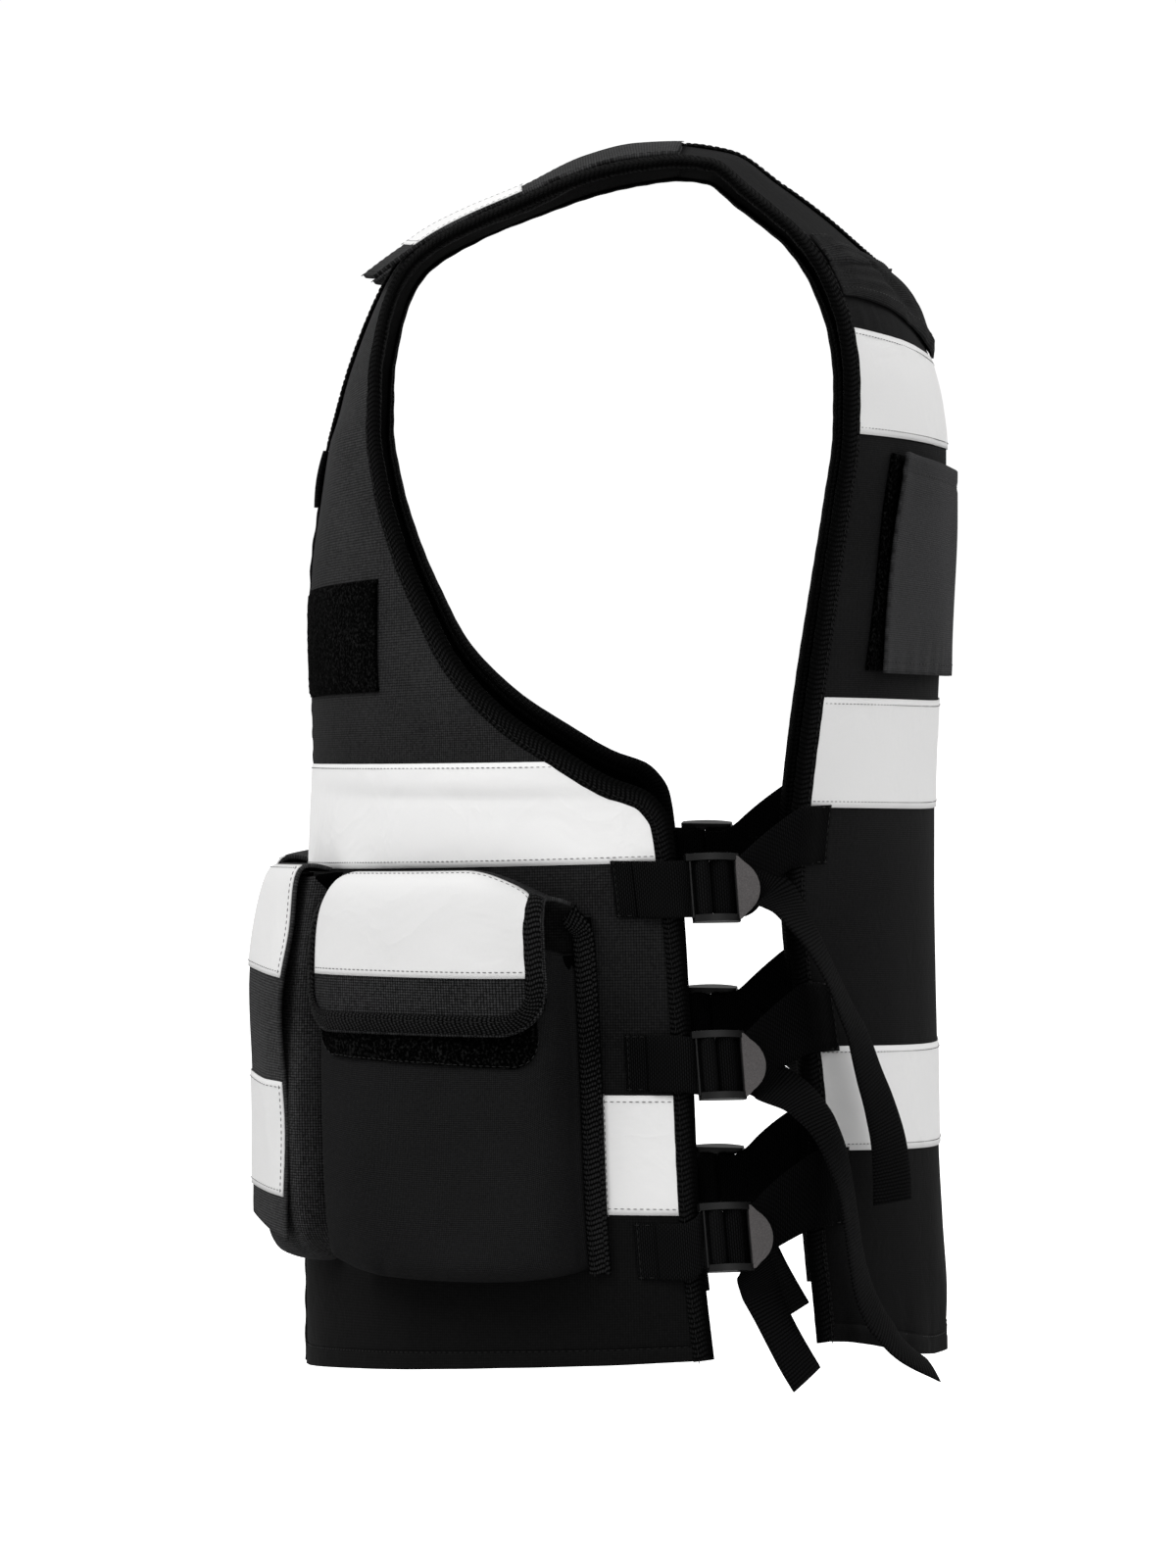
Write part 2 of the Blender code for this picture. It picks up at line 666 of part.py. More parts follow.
def flap_rows(lift, first_y, last_y, past_end=0.0):
    """Rows up the shoulder flap between two depths, with a straight free end below the first."""
    places = []
    for y in (first_y, last_y):
        low, high = SHELL.at("strap_root"), SHELL.at("shoulder")
        for _ in range(40):
            middle = (low + high) / 2
            if SHELL.point(0.5, middle).y < y:
                low = middle
            else:
                high = middle
        places.append(low)
    inside = [knot for knot in SHELL.between("strap_root", "shoulder")
              if places[0] + 0.004 < knot < places[1] - 0.004]
    rows = sheet_rows([places[0], *inside, places[1]], (0.0, 0.25, 0.5, 0.75, 1.0), lift)
    if past_end:
        run = [(a - b).normalized() for a, b in zip(rows[0], rows[1])]
        rows.insert(0, [point + way * past_end for point, way in zip(rows[0], run)])
    return rows


def make_shoulder_flaps():
    flap = flap_rows(LAYER_GAP + 0.0004, FLAP_LEAVES_Y, 0.0, FLAP_TIP_RUN)
    top = 2 * LAYER_GAP + 0.0004 + FLAP_THICKNESS
    tape = flap_rows(top, FLAP_LEAVES_Y, SHOULDER_TAPE_BACK_Y, SHOULDER_TAPE_PAST)
    for side, word in SIDES:
        cloth(f"shoulder_flap_{word}", flap, FLAP_THICKNESS, 1, "polyester", side)
        cloth(f"shoulder_tape_{word}", tape, TAPE_THICKNESS, 1, "reflective", side)


def flat_field(centre, right, up, half_width, half_height, lift):
    """The four corners of a flat middle facet, as two rows of two."""
    out = right.cross(up).normalized()
    rows = []
    for height in (-half_height, half_height):
        rows.append([centre + right * part + up * height + out * lift for part in (-half_width, half_width)])
    return rows


def make_chest_patches():
    along = SHELL.along_at("inner", PATCH_CENTRE_Z, "front_tape_top", "armhole_132")
    middle = SHELL.across_at(0, PATCH_CENTRE_X, along)
    reach = PATCH_FLAT_HALF_WIDTH / SHELL.width(along)
    right = (SHELL.lifted(middle + reach, along, 0) - SHELL.lifted(middle - reach, along, 0)).normalized()
    up = SHELL.normal(middle, along).cross(right).normalized()
    half = PATCH_HEIGHT / 2
    lift = LAYER_GAP + 0.0008
    flat = flat_field(
        SHELL.lifted(middle, along, 0), right, up, PATCH_FLAT_HALF_WIDTH, half, lift
    )
    reach_out = PATCH_WIDTH / 2 / SHELL.width(along)
    near = span(middle - reach_out, middle - reach)[:-1]
    far = span(middle + reach, middle + reach_out)[1:]
    rows = []
    for flat_row, height in zip(flat, (-half, half)):
        line = [SHELL.lifted(across, along + height, lift) for across in near]
        line += flat_row
        line += [SHELL.lifted(across, along + height, lift) for across in far]
        rows.append(line)
    for side, word in SIDES:
        cloth(f"chest_patch_{word}", rows, PILE_THICKNESS, 1, "loop_pile", side, even=True)


def panel_spot(height, across, lift):
    """A point off the lower front at this height on the outer edge's scale."""
    along = SHELL.along_at("outer", height, "front_hem", "front_side_top")
    return SHELL.lifted(across, along, lift)


def make_main_pouches():
    middle = SHELL.along_at("outer", -0.40, "front_hem", "front_side_top")
    start = SHELL.across_at(1, MAIN_FRONT_Y, middle)
    end = SHELL.across_at(1, MAIN_SIDE_Y, middle)
    flange = SHELL.across_at(1, MAIN_FLANGE_Y, middle)
    extra = [start + (end - start) * row.place for row in MAIN_ACROSS[1:-1]]
    columns = span(start, end, extra) + [flange]
    outer, inner = [], []
    for row in MAIN_UP:
        line = []
        for across in columns:
            part = (across - start) / (end - start)
            depth = MAIN_DEPTH * row.rise * read(MAIN_ACROSS, part)
            line.append(panel_spot(row.place, across, LAYER_GAP + max(depth, FLANGE_THICKNESS)))
        outer.append(line)
        inner.append([panel_spot(row.place, across, LAYER_GAP) for across in columns])
    pile_low = SHELL.across_at(1, MAIN_PILE_FRONT_Y, middle)
    pile_high = SHELL.across_at(1, MAIN_PILE_SIDE_Y, middle)
    pile = []
    for height in (MAIN_PILE_LOW_Z, MAIN_PILE_TOP_Z):
        depth = MAIN_DEPTH * 1.02 + 2 * LAYER_GAP
        pile.append([panel_spot(height, across, depth) for across in span(pile_low, pile_high)])
    for side, word in SIDES:
        pad(f"main_pouch_{word}", outer, inner, "polyester", side)
        cloth(f"main_pile_{word}", pile, 0.001, 1, "loop_pile", side)


def make_main_flaps():
    middle = SHELL.along_at("outer", -0.34, "front_hem", "front_side_top")
    start = SHELL.across_at(1, MAIN_FLAP_FRONT_Y, middle)
    end = SHELL.across_at(1, MAIN_FLAP_SIDE_Y, middle)
    inset = (end - start) * 0.08
    columns = span(start, end, (start + inset, end - inset))
    rows = [flap_row(columns, row.place, row.rise) for row in reversed(MAIN_FLAP_UP)]
    tape = []
    for height in MAIN_FLAP_TAPE_ROWS:
        rise = read(MAIN_FLAP_UP, height) + FLAP_THICKNESS * MAIN_FLAP_SLANT + 2 * LAYER_GAP
        tape.append(flap_row(columns, height, rise))
    for side, word in SIDES:
        cloth(f"main_flap_{word}", rows, FLAP_THICKNESS, 1, "polyester", side)
        cloth(f"main_flap_tape_{word}", tape, TAPE_THICKNESS, 1, "reflective", side)


def flap_row(columns, height, lift):
    """A row across the main flap, whose two ends turn down towards the pouch."""
    along = SHELL.along_at("outer", height + MAIN_FLAP_TILT, "front_hem", "armhole_low")
    drops = [MAIN_FLAP_END_DROP if across in (columns[0], columns[-1]) else 0.0 for across in columns]
    return [SHELL.lifted(across, along, max(lift - drop, FLAP_THICKNESS))
            for across, drop in zip(columns, drops)]


def make_slim_pouches():
    middle = SHELL.along_at("inner", -0.39, "front_hem", "front_tape_low")
    start = SHELL.across_at(0, SLIM_CENTRE_SIDE_X, middle)
    end = SHELL.across_at(0, SLIM_OUTER_SIDE_X, middle)
    extra = [start + (end - start) * row.place for row in SLIM_ACROSS[1:-1]]
    columns = span(start, end, extra)
    outer, inner = [], []
    for row in SLIM_UP:
        line = []
        for across in columns:
            part = (across - start) / (end - start)
            line.append(slim_spot(row.place, across, LAYER_GAP + row.rise * read(SLIM_ACROSS, part)))
        outer.append(line)
        inner.append([slim_spot(row.place, across, LAYER_GAP) for across in columns])
    strip = span(start, end)
    flap = [[slim_spot(row.place, across, row.rise) for across in strip] for row in reversed(SLIM_FLAP_UP)]
    for side, word in SIDES:
        pad(f"slim_pouch_{word}", outer, inner, "polyester", side)
        cloth(f"slim_flap_{word}", flap, FLAP_THICKNESS, 1, "polyester", side)
    for place, low, top in SLIM_TAPES:
        heights = [low, *[row.place for row in reversed(SLIM_FLAP_UP) if low + 0.003 < row.place < top - 0.003], top]
        rows = []
        for height in heights:
            lift = read(SLIM_FLAP_UP, height) + FLAP_THICKNESS + LAYER_GAP
            rows.append([slim_spot(height, across, lift) for across in strip])
        for side, word in SIDES:
            cloth(f"slim_tape_{place}_{word}", rows, TAPE_THICKNESS, 1, "reflective", side)


def slim_spot(height, across, lift):
    along = SHELL.along_at("inner", height, "front_hem", "front_side_top")
    return SHELL.lifted(across, along, lift)


def make_yoke_loop():
    top_middle = SHELL.at("nape")
    top_arm = (SHELL.at("back_79") + SHELL.at("back_88")) / 2
    low_middle = SHELL.at("upper_tape_top")
    low_arm = SHELL.at("yoke_59")
    rows = []
    for step in range(YOKE_STEPS + 1):
        s = step / YOKE_STEPS
        line = []
        for place, lift in zip(COLUMN_LINES, YOKE_LIFTS):
            bend = place * place * (3 - 2 * place)
            first = top_middle + (top_arm - top_middle) * bend + YOKE_EDGE_MARGIN
            last = low_middle + (low_arm - low_middle) * bend - YOKE_EDGE_MARGIN * 2
            puff = lift + YOKE_PUFF * math.sin(math.pi * s)
            line.append(SHELL.lifted(place, first + (last - first) * s, puff))
        rows.append(line)
    cloth("yoke_loop", rows, YOKE_THICKNESS, 1, "polyester", whole=True)


def make_back_field():
    top = SHELL.along_at("inner", ID_TOP_Z, "upper_tape_low", "middle_tape_top")
    low = SHELL.along_at("inner", ID_LOW_Z, "upper_tape_low", "middle_tape_top")
    inside = [knot for knot in SHELL.between("back_150", "back_190")]
    pile = []
    widest = SHELL.across_at(0, ID_PILE_HALF_WIDTH, top)
    lines = span(0.0, widest)[:-1]
    for along in (top, *inside, low):
        end = SHELL.across_at(0, ID_PILE_HALF_WIDTH, along)
        columns = [min(line, end - 0.02) for line in lines] + [end]
        pile.append([SHELL.lifted(across, along, LAYER_GAP) for across in columns])
    cloth("id_pile", pile, PILE_THICKNESS, 1, "loop_pile", whole=True)
    panel = []
    for along in (top, low):
        middle = SHELL.point(0.0, along) + SHELL.normal(0.0, along) * ID_LIFT
        line = [middle, middle + Vector((ID_FLAT_HALF_WIDTH, 0, 0))]
        for x in (0.062, 0.095, ID_HALF_WIDTH):
            line.append(SHELL.lifted(SHELL.across_at(0, x, along), along, ID_LIFT))
        panel.append(line)
    cloth("id_panel", panel, ID_THICKNESS, 1, "polyester", whole=True, even=True)


def side_frame(strap):
    """Origin, direction back along the strap and direction out, at one buckle's height."""
    front = SHELL.along_at("outer", strap.buckle_z, "front_hem", "front_side_top")
    rear = SHELL.along_at("outer", strap.buckle_z, "middle_tape_low", "back_hem")
    start = SHELL.from_edge("outer", front, 0.0, WEB_LIFT)
    end = SHELL.from_edge("outer", rear, 0.0, WEB_LIFT)
    back = (end - start).normalized()
    back.z = 0
    back.normalize()
    out = back.cross(Vector((0, 0, 1)))
    return Vector((start.x, start.y, strap.buckle_z)) + back * BUCKLE_EDGE_GAP, back, out


def ribbon(name, rows, side):
    """Webbing through rows of its two edges, upper first."""
    return cloth(name, rows, WEB_THICKNESS, 0, "webbing", side, even=True)


def sewn_rows(height, first, last, distances, lift):
    """Rows of webbing that follow the panel below its two edges."""
    rows = []
    for distance in distances:
        row = []
        for edge_height in (height + WEB_WIDTH / 2, height - WEB_WIDTH / 2):
            along = SHELL.along_at("outer", edge_height, first, last)
            point = SHELL.from_edge("outer", along, distance, lift)
            row.append(Vector((point.x, point.y, edge_height)))
        rows.append(row)
    return rows


def upright_row(point):
    half = Vector((0, 0, WEB_WIDTH / 2))
    return [point + half, point - half]


def front_web_rows(strap):
    origin, back, out = side_frame(strap)
    ends = ("front_hem", "front_side_top")
    rows = sewn_rows(strap.buckle_z, *ends, (strap.front_run, 0.018, 0.0008), WEB_LIFT)
    cut = CORNER_CUT
    bar = [
        (FIXED_RISE - cut, LOWER_LAYER),
        (FIXED_RISE, LOWER_LAYER + cut),
        (FIXED_RISE, UPPER_LAYER - cut),
        (FIXED_RISE - cut, UPPER_LAYER),
        (-0.0005, UPPER_LAYER),
    ]
    rows += [upright_row(origin + back * length + out * rise) for length, rise in bar]
    rows += sewn_rows(strap.buckle_z, *ends, (0.007,), WEB_LIFT * 2 + 0.0010)
    rows += sewn_rows(strap.buckle_z, *ends, (0.016,), WEB_LIFT * 2 + 0.0003)
    return rows


def smooth_tail(points):
    """Tail points with extra ones between them on a Catmull-Rom curve, as (point, roll)."""
    rows = [Vector(point) for point in points]
    rows.insert(0, rows[0] * 2 - rows[1])
    rows.append(rows[-1] * 2 - rows[-2])
    found = []
    for a, b, c, d in zip(rows, rows[1:], rows[2:], rows[3:]):
        for step in range(TAIL_STEPS):
            s = step / TAIL_STEPS
            found.append(
                (b * 2 + (c - a) * s + (a * 2 - b * 5 + c * 4 - d) * s * s
                 + (b * 3 - a - c * 3 + d) * s**3) / 2
            )
    return found + [rows[-2]]


def rear_strap_rows(strap, exits, tail):
    """From the sewn end, under the cross bar, over it, under the tab bar and down the tail."""
    origin, back, out = side_frame(strap)
    rows = sewn_rows(
        strap.rear_z, "middle_tape_low", "back_hem", (strap.rear_run, 0.010, 0.0), WEB_LIFT
    )
    cut = CORNER_CUT
    weave = [
        (0.0215, LOAD_LAYER),
        (LOAD_RISE + 0.0015, LOAD_LAYER),
        (LOAD_RISE, LOAD_LAYER + 0.0015),
        (LOAD_RISE, UPPER_LAYER - cut),
        (LOAD_RISE + cut, UPPER_LAYER),
        (LOAD_FALL - cut, UPPER_LAYER),
        (LOAD_FALL, UPPER_LAYER - cut),
        (LOAD_FALL, LOWER_LAYER + cut),
        (LOAD_FALL + cut, LOWER_LAYER),
        (LOAD_FALL + cut + 0.0012, LOWER_LAYER),
    ]
    points = [origin + back * length + out * rise for length, rise in weave]
    sag = origin + back * LOAD_SAG_LENGTH + out * LOAD_SAG
    sag.z = (strap.rear_z + strap.buckle_z) / 2
    rows += [upright_row(point) for point in [sag, *points]]
    half = WEB_WIDTH / 2
    for leave in exits:
        centre = origin + back * leave.length - Vector((0, 0, leave.drop))
        turn = math.radians(leave.turn)
        way = back * -math.sin(turn) + Vector((0, 0, -math.cos(turn)))
        rows.append([centre - way * half, centre + way * half])
    free = [centre, *(Vector(row[0:3]) for row in tail)]
    rolls = [0.0, *(row.roll for row in tail)]
    curve = smooth_tail([Vector((*point, roll / 1000)) for point, roll in zip(free, rolls)])
    for index, row in enumerate(curve):
        if index == 0:
            continue
        before = curve[index - 1]
        after = curve[min(index + 1, len(curve) - 1)]
        travel = (after - before).xyz.normalized()
        across = travel.cross(Vector((1, 0, 0))).normalized()
        edgewise = across.cross(travel).normalized()
        roll = math.radians(row.w * 1000)
        way = across * math.cos(roll) + edgewise * math.sin(roll)
        rows.append([row.xyz - way * half, row.xyz + way * half])
    return rows


def buckle(name, strap, side):
    """A flat ladder frame with two windows and a round-ended tab."""
    origin, back, out = side_frame(strap)
    half = BUCKLE_HEIGHT / 2
    tab_half = BUCKLE_TAB_HEIGHT / 2
    outline = [(0, -half), (BUCKLE_BODY_LENGTH, -half)]
    for step in range(TAB_ARC_STEPS + 1):
        angle = math.pi * (step / TAB_ARC_STEPS - 0.5)
        outline.append((BUCKLE_BODY_LENGTH + BUCKLE_TAB_LENGTH * math.cos(angle), tab_half * math.sin(angle)))
    outline += [(BUCKLE_BODY_LENGTH, half), (0, half)]
    loops = [outline]
    window = BUCKLE_WINDOW_HEIGHT / 2
    for first, last in BUCKLE_WINDOWS:
        loops.append([(first, -window), (last, -window), (last, window), (first, window)])
    curve = bpy.data.curves.new(name, "CURVE")
    curve.dimensions = "2D"
    curve.fill_mode = "BOTH"
    curve.extrude = BUCKLE_THICKNESS / 2
    for loop in loops:
        spline = curve.splines.new("POLY")
        spline.points.add(len(loop) - 1)
        for point, (length, height) in zip(spline.points, loop):
            point.co = (length, height, 0, 1)
        spline.use_cyclic_u = True
    obj = add_object(name, curve, "buckle_plastic")
    middle = origin + out * (BUCKLE_BOTTOM + BUCKLE_THICKNESS / 2)
    x_axis = mirrored(back, side)
    z_axis = mirrored(out, side)
    y_axis = z_axis.cross(x_axis)
    frame = Matrix((x_axis, y_axis, z_axis)).transposed().to_4x4()
    obj.matrix_world = Matrix.Translation(mirrored(middle, side)) @ frame
    return obj


def make_side_straps():
    for number, (strap, exits, tail) in enumerate(zip(STRAPS, EXITS, TAILS), start=1):
        for side, word in SIDES:
            ribbon(f"front_web_{number}_{word}", front_web_rows(strap), side)
            buckle(f"buckle_{number}_{word}", strap, side)
            ribbon(f"rear_strap_{number}_{word}", rear_strap_rows(strap, exits, tail), side)


clear_scene()
SIDES = ((1, "left"), (-1, "right"))
SHELL = HalfShell(STATIONS)
PARTS = bpy.data.collections.new("tactical_vest")
bpy.context.scene.collection.children.link(PARTS)
MATERIALS = make_looks()
make_panels()
make_bindings()
make_front_closure()
make_tapes()
make_shoulder_flaps()
make_chest_patches()
make_main_pouches()
make_main_flaps()
make_slim_pouches()
make_yoke_loop()
make_back_field()
make_side_straps()
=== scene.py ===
# Tactical vest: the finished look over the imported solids. Sizes are in metres.
import bpy
import bmesh
import math
import numpy as np
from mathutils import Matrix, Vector


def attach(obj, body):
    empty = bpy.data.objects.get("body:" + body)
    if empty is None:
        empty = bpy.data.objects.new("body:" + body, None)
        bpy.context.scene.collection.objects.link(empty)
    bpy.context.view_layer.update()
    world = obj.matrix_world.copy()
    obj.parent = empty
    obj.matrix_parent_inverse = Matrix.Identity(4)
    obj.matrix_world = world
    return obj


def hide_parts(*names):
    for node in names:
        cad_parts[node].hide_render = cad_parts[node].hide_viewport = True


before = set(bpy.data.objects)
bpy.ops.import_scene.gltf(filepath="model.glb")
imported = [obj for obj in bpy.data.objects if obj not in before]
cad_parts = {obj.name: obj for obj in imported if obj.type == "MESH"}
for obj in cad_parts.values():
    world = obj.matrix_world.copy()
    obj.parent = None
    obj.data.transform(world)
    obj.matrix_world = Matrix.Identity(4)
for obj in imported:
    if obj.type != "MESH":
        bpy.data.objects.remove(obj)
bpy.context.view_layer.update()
print("frame loaded,", len(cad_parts), "nodes")

# camera and light
shot = {"place": (5.0, -0.0099, -0.1019), "aim": (0.0, -0.0394, -0.2693), "lens": 255.4}
studio = {"floorZ": -0.66, "floorReach": 14, "skyForCamera": 1.02, "skyHigh": 0.95, "skyLow": 0.22,
          "floorGlow": 1.0, "floorTone": 0.55, "keyPower": 120, "fillPower": 32, "rimPower": 42}


def aimed(obj, place, target):
    obj.location = place
    obj.rotation_euler = (Vector(target) - Vector(place)).to_track_quat("-Z", "Y").to_euler()
    bpy.context.scene.collection.objects.link(obj)
    return obj


def softLight(name, place, size, power):
    lamp = bpy.data.lights.new(name, "AREA")
    lamp.shape = "DISK"
    lamp.size = size
    lamp.energy = power
    return aimed(bpy.data.objects.new(name, lamp), place, (0, 0, -0.26))


lensData = bpy.data.cameras.new("photoView")
lensData.lens = shot["lens"]
lensData.clip_end = 60
bpy.context.scene.camera = aimed(bpy.data.objects.new("photoView", lensData), shot["place"], shot["aim"])
softLight("keyLight", (1.7, -2.9, 2.5), 2.4, studio["keyPower"])
softLight("fillLight", (3.4, 1.8, 0.4), 2.6, studio["fillPower"])
softLight("rimLight", (-1.8, 2.6, 1.8), 2.0, studio["rimPower"])
bpy.context.scene.view_settings.view_transform = "Standard"


# shader building blocks
def put(tree, kind, links=None, **settings):
    node = tree.nodes.new(kind)
    for key, value in settings.items():
        setattr(node, key, value)
    for key, value in (links or {}).items():
        if isinstance(value, bpy.types.NodeSocket):
            tree.links.new(value, node.inputs[key])
        else:
            node.inputs[key].default_value = value
    return node


def calc(tree, operation, *values):
    return put(tree, "ShaderNodeMath", dict(enumerate(values)), operation=operation).outputs[0]


def newGroup(name, inputs, outputs):
    group = bpy.data.node_groups.new(name, "ShaderNodeTree")
    for label, (kind, value) in inputs.items():
        socket = group.interface.new_socket(label, in_out="INPUT", socket_type="NodeSocket" + kind)
        if kind == "Float":
            socket.default_value = value
    for label in outputs:
        group.interface.new_socket(label, in_out="OUTPUT", socket_type="NodeSocketFloat")
    return group, put(group, "NodeGroupInput").outputs, put(group, "NodeGroupOutput").inputs


def roundThread(tree, place):  # 0 between threads, 1 on top of one
    return calc(tree, "ABSOLUTE", calc(tree, "SINE", calc(tree, "MULTIPLY", place, math.pi)))


def makeWeaveGroup():
    group, given, made = newGroup("plainWeave", {
        "Vector": ("Vector", None), "Warp": ("Float", 0.0007), "Weft": ("Float", 0.0007),
        "Uneven": ("Float", 0.5)}, ("Height", "Thread"))
    axes = put(group, "ShaderNodeSeparateXYZ", {0: given["Vector"]}).outputs
    u = calc(group, "DIVIDE", axes[0], given["Warp"])
    v = calc(group, "DIVIDE", axes[1], given["Weft"])
    heights = []
    for near, far, shift in ((u, v, 0.0), (v, u, 1.0)):  # each thread goes over every other crossing
        turn = calc(group, "ADD", calc(group, "ADD", calc(group, "FLOOR", near), far), shift)
        wave = calc(group, "SINE", calc(group, "MULTIPLY", turn, math.pi))
        lift = calc(group, "MULTIPLY_ADD", wave, 0.5, 0.5)
        heights.append(calc(group, "MULTIPLY", roundThread(group, near), lift))
    top = calc(group, "MAXIMUM", *heights)
    cell = put(group, "ShaderNodeCombineXYZ", {0: calc(group, "FLOOR", u), 1: calc(group, "FLOOR", v)}).outputs[0]
    each = put(group, "ShaderNodeTexWhiteNoise", {"Vector": cell}, noise_dimensions="2D").outputs["Value"]
    slub = put(group, "ShaderNodeTexNoise", {"Vector": given["Vector"], "Scale": 800.0, "Detail": 1.5}).outputs[0]
    slub = put(group, "ShaderNodeMapRange", {0: slub, 1: 0.36, 2: 0.64, 3: -0.5, 4: 0.5}).outputs[0]
    group.links.new(calc(group, "MULTIPLY", top, calc(group, "MULTIPLY_ADD", each, 0.35, 0.65)), made["Height"])
    uneven = calc(group, "ADD", calc(group, "MULTIPLY_ADD", each, 0.8, -0.4), slub)
    uneven = calc(group, "MULTIPLY_ADD", uneven, given["Uneven"], 0.9)
    group.links.new(calc(group, "MULTIPLY", top, uneven), made["Thread"])
    return group


def makeRibGroup():
    group, given, made = newGroup("ribbedTape", {
        "Vector": ("Vector", None), "Pitch": ("Float", 0.0014),
        "Cord": ("Float", 0.0009), "Bend": ("Float", 900.0), "BendReach": ("Float", 0.0)}, ("Height", "Thread"))
    axes = put(group, "ShaderNodeSeparateXYZ", {0: given["Vector"]}).outputs
    bend = calc(group, "SINE", calc(group, "MULTIPLY", axes[0], given["Bend"]))
    lean = calc(group, "MULTIPLY_ADD", bend, given["BendReach"], axes[1])
    wobble = put(group, "ShaderNodeTexNoise", {"Vector": given["Vector"], "Scale": 220.0, "Detail": 1.0}).outputs[0]
    place = calc(group, "MULTIPLY_ADD", wobble, 0.35, calc(group, "DIVIDE", lean, given["Pitch"]))
    rib = calc(group, "POWER", roundThread(group, place), 0.7)
    row = calc(group, "FLOOR", place)
    cord = roundThread(group, calc(group, "MULTIPLY_ADD", row, 0.5, calc(group, "DIVIDE", axes[0], given["Cord"])))
    group.links.new(calc(group, "MULTIPLY", rib, calc(group, "MULTIPLY_ADD", cord, 0.3, 0.7)), made["Height"])
    group.links.new(calc(group, "MULTIPLY", rib, calc(group, "MULTIPLY_ADD", cord, 0.5, 0.5)), made["Thread"])
    return group


def makeToneGroup():  # slow changes over the cloth, and small creases
    group, given, made = newGroup("clothTone", {
        "Vector": ("Vector", None), "Patch": ("Float", 18.0), "Crease": ("Float", 60.0)}, ("Tone", "Crease"))
    slow = put(group, "ShaderNodeTexNoise", {"Vector": given["Vector"], "Scale": given["Patch"], "Detail": 3.0})
    fine = put(group, "ShaderNodeTexNoise", {"Vector": given["Vector"], "Scale": given["Crease"], "Detail": 3.0,
                                             "Roughness": 0.55, "Distortion": 0.8})
    ridge = calc(group, "ABSOLUTE", calc(group, "SUBTRACT", fine.outputs[0], 0.5))
    group.links.new(slow.outputs[0], made["Tone"])
    group.links.new(calc(group, "SUBTRACT", 1.0, calc(group, "MULTIPLY", ridge, 3.0)), made["Crease"])
    return group


def makeFuzzGroup():
    group, given, made = newGroup("fuzz", {"Vector": ("Vector", None), "Size": ("Float", 1400.0)}, ("Height", "Thread"))
    curls = put(group, "ShaderNodeTexVoronoi", {"Vector": given["Vector"], "Scale": given["Size"]}).outputs[0]
    mess = put(group, "ShaderNodeTexNoise", {"Vector": given["Vector"], "Scale": given["Size"], "Detail": 4.0})
    mess = mess.outputs[0]
    group.links.new(calc(group, "SUBTRACT", mess, calc(group, "MULTIPLY", curls, 0.5)), made["Height"])
    group.links.new(calc(group, "POWER", mess, 2.0), made["Thread"])
    return group


weaveGroup = makeWeaveGroup()
ribGroup = makeRibGroup()
toneGroup = makeToneGroup()
fuzzGroup = makeFuzzGroup()


def finishMaterial(name, look, pattern):
    material = bpy.data.materials.new(name)
    material.use_nodes = True
    tree = material.node_tree
    shader = tree.nodes["Principled BSDF"]
    space = put(tree, "ShaderNodeTexCoord").outputs["Object"]
    tone = put(tree, "ShaderNodeGroup", {}, node_tree=toneGroup)
    tree.links.new(space, tone.inputs["Vector"])
    tone.inputs["Patch"].default_value = look.get("patch", 18.0)
    tone.inputs["Crease"].default_value = look.get("creaseScale", 60.0)
    height, thread = pattern(tree, space)
    share = calc(tree, "MULTIPLY_ADD", tone.outputs["Tone"], look.get("toneShare", 0.5), thread)
    share = put(tree, "ShaderNodeMapRange", {0: share, 1: look.get("low", 0.2), 2: look.get("high", 1.3)}).outputs[0]
    if "paintedLowShade" in look:  # painted shade, as if lit from above: heights between which the cloth darkens, and what is left at the lower one
        low, high, left = look["paintedLowShade"]
        height = put(tree, "ShaderNodeSeparateXYZ", {0: space}).outputs[2]
        height = put(tree, "ShaderNodeMapRange", {0: height, 1: low, 2: high}).outputs[0]
        height = calc(tree, "MULTIPLY_ADD", calc(tree, "POWER", height, 1.5), 1 - left, left)
        share = calc(tree, "MULTIPLY", share, height)
    if "paintedTurnShade" in look:  # painted shade across a folded tape: where it turns from sight it darkens, and what is left there
        first, last, left = look["paintedTurnShade"]
        girth = put(tree, "ShaderNodeUVMap", uv_map="UVMap").outputs[0]
        girth = put(tree, "ShaderNodeSeparateXYZ", {0: girth}).outputs[0]
        girth = put(tree, "ShaderNodeMapRange", {0: girth, 1: first, 2: last, 3: 1.0, 4: left}).outputs[0]
        share = calc(tree, "MULTIPLY", share, girth)
    colors = put(tree, "ShaderNodeMix", {0: share, 6: (*look["dark"], 1), 7: (*look["light"], 1)}, data_type="RGBA")
    tree.links.new(colors.outputs[2], shader.inputs["Base Color"])
    rough = put(tree, "ShaderNodeMapRange", {0: tone.outputs["Tone"], 3: look["rough"][0], 4: look["rough"][1]})
    tree.links.new(rough.outputs[0], shader.inputs["Roughness"])
    creases = put(tree, "ShaderNodeBump", {"Height": tone.outputs["Crease"], "Strength": 1.0,
                                           "Distance": look.get("creaseDepth", 0.0002)})
    bump = put(tree, "ShaderNodeBump", {"Height": height, "Strength": 1.0, "Distance": look["depth"],
                                        "Normal": creases.outputs[0]})
    tree.links.new(bump.outputs[0], shader.inputs["Normal"])
    shader.inputs["Specular IOR Level"].default_value = look.get("gloss", 0.15)
    return material


def groupPattern(group, values, useMap=True):
    def build(tree, space):
        vector = put(tree, "ShaderNodeUVMap", uv_map="UVMap").outputs[0] if useMap else space
        node = put(tree, "ShaderNodeGroup", {}, node_tree=group)
        tree.links.new(vector, node.inputs["Vector"])
        for label, value in values.items():
            node.inputs[label].default_value = value
        return node.outputs["Height"], node.outputs["Thread"]
    return build


